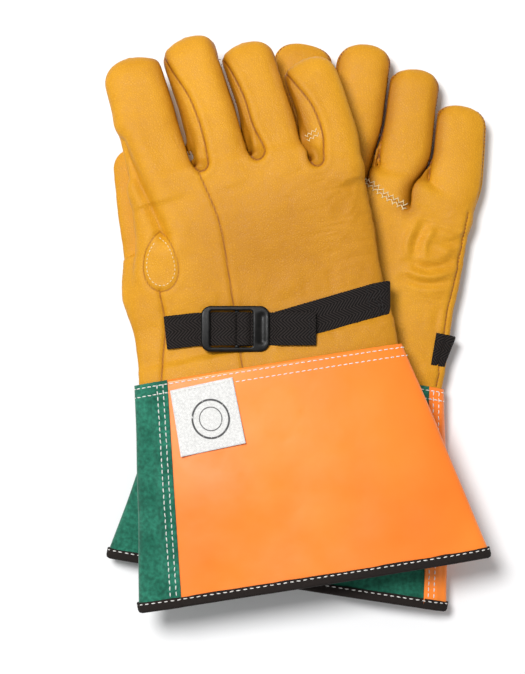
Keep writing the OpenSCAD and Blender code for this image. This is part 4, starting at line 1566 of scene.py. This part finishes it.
def stage():
    low, high = CAD_BOX
    centre = (low + high) / 2
    size = 40.0
    cells = 24
    line = np.linspace(-size / 2, size / 2, cells + 1)
    verts = [(x + centre.x, y + centre.y, low.z - 0.0005) for y in line for x in line]
    row = cells + 1
    faces = [(j * row + i, j * row + i + 1, (j + 1) * row + i + 1, (j + 1) * row + i)
             for j in range(cells) for i in range(cells)]
    mesh = bpy.data.meshes.new("floor")
    mesh.from_pydata(verts, [], faces)
    mat, tree, shader = node_material("pale_floor")
    shader.inputs["Base Color"].default_value = (0.86, 0.86, 0.865, 1)
    shader.inputs["Roughness"].default_value = 0.9
    # Painted light: the floor glows, the more the further it lies from the origin, so that far off it fades into the
    # white backdrop.
    away = tree.nodes.new("ShaderNodeVectorMath")
    away.operation = "LENGTH"
    tree.links.new(tree.nodes.new("ShaderNodeTexCoord").outputs["Object"], away.inputs[0])
    glow = tree.nodes.new("ShaderNodeMapRange")
    glow.inputs["From Min"].default_value = 0.45
    glow.inputs["From Max"].default_value = 2.2
    glow.inputs["To Max"].default_value = 0.66
    tree.links.new(away.outputs["Value"], glow.inputs["Value"])
    shader.inputs["Emission Color"].default_value = (1, 1, 1, 1)
    tree.links.new(glow.outputs["Result"], shader.inputs["Emission Strength"])
    mesh.materials.append(mat)
    floor = bpy.data.objects.new("floor", mesh)
    bpy.context.scene.collection.objects.link(floor)


def light(name, place, target, size, power, colour=(1, 1, 1)):
    data = bpy.data.lights.new(name, "AREA")
    data.shape = "DISK"
    data.size = size
    data.energy = power
    data.color = colour
    lamp = bpy.data.objects.new(name, data)
    lamp.location = place
    lamp.rotation_mode = "QUATERNION"
    lamp.rotation_quaternion = (Vector(target) - Vector(place)).to_track_quat("-Z", "Y")
    bpy.context.scene.collection.objects.link(lamp)


def lights_and_camera():
    scene = bpy.context.scene
    scene.view_settings.view_transform = "Standard"
    low, high = CAD_BOX
    centre = (low + high) / 2
    world = bpy.data.worlds.new("studio")
    world.use_nodes = True
    tree = world.node_tree
    background = tree.nodes["Background"]
    background.inputs["Color"].default_value = (1, 1, 1, 1)
    path = tree.nodes.new("ShaderNodeLightPath")
    strength = ramp(tree, path.outputs["Is Camera Ray"], [(0.0, (0.38,) * 3), (1.0, (1.0,) * 3)])
    tree.links.new(strength.outputs["Color"], background.inputs["Strength"])
    scene.world = world
    light("key", centre + Vector((-0.44, 0.37, 1.52)), centre, 0.5, 27)
    light("fill", centre + Vector((0.7, -0.9, 1.4)), centre, 1.4, 2)
    elevation = math.radians(86)
    distance = 1.0
    aim = Vector((centre.x - 0.022, centre.y - 0.0105, high.z - 0.0105))
    back = Vector((0, -math.cos(elevation), math.sin(elevation)))
    camera = bpy.data.objects.new("camera", bpy.data.cameras.new("camera"))
    camera.data.lens = 84.5
    camera.location = aim + back * distance
    camera.rotation_mode = "QUATERNION"
    camera.rotation_quaternion = (-back).to_track_quat("-Z", "Y")
    scene.collection.objects.link(camera)
    scene.camera = camera


# ---------------------------------------------------------------- the pair

def main():
    mats = make_materials()
    for side in ("right", "left"):
        glove = Glove(side)
        skin, finger_skins = leather_hand(glove, mats["leather"])
        leather_thumb(glove, mats["leather"])
        make_cuff(glove, mats)
        make_strap(glove, skin, mats)
        leather_threads(glove, skin, mats)
        edge_threads(glove, skin, finger_skins, mats)
    stage()
    lights_and_camera()


main()
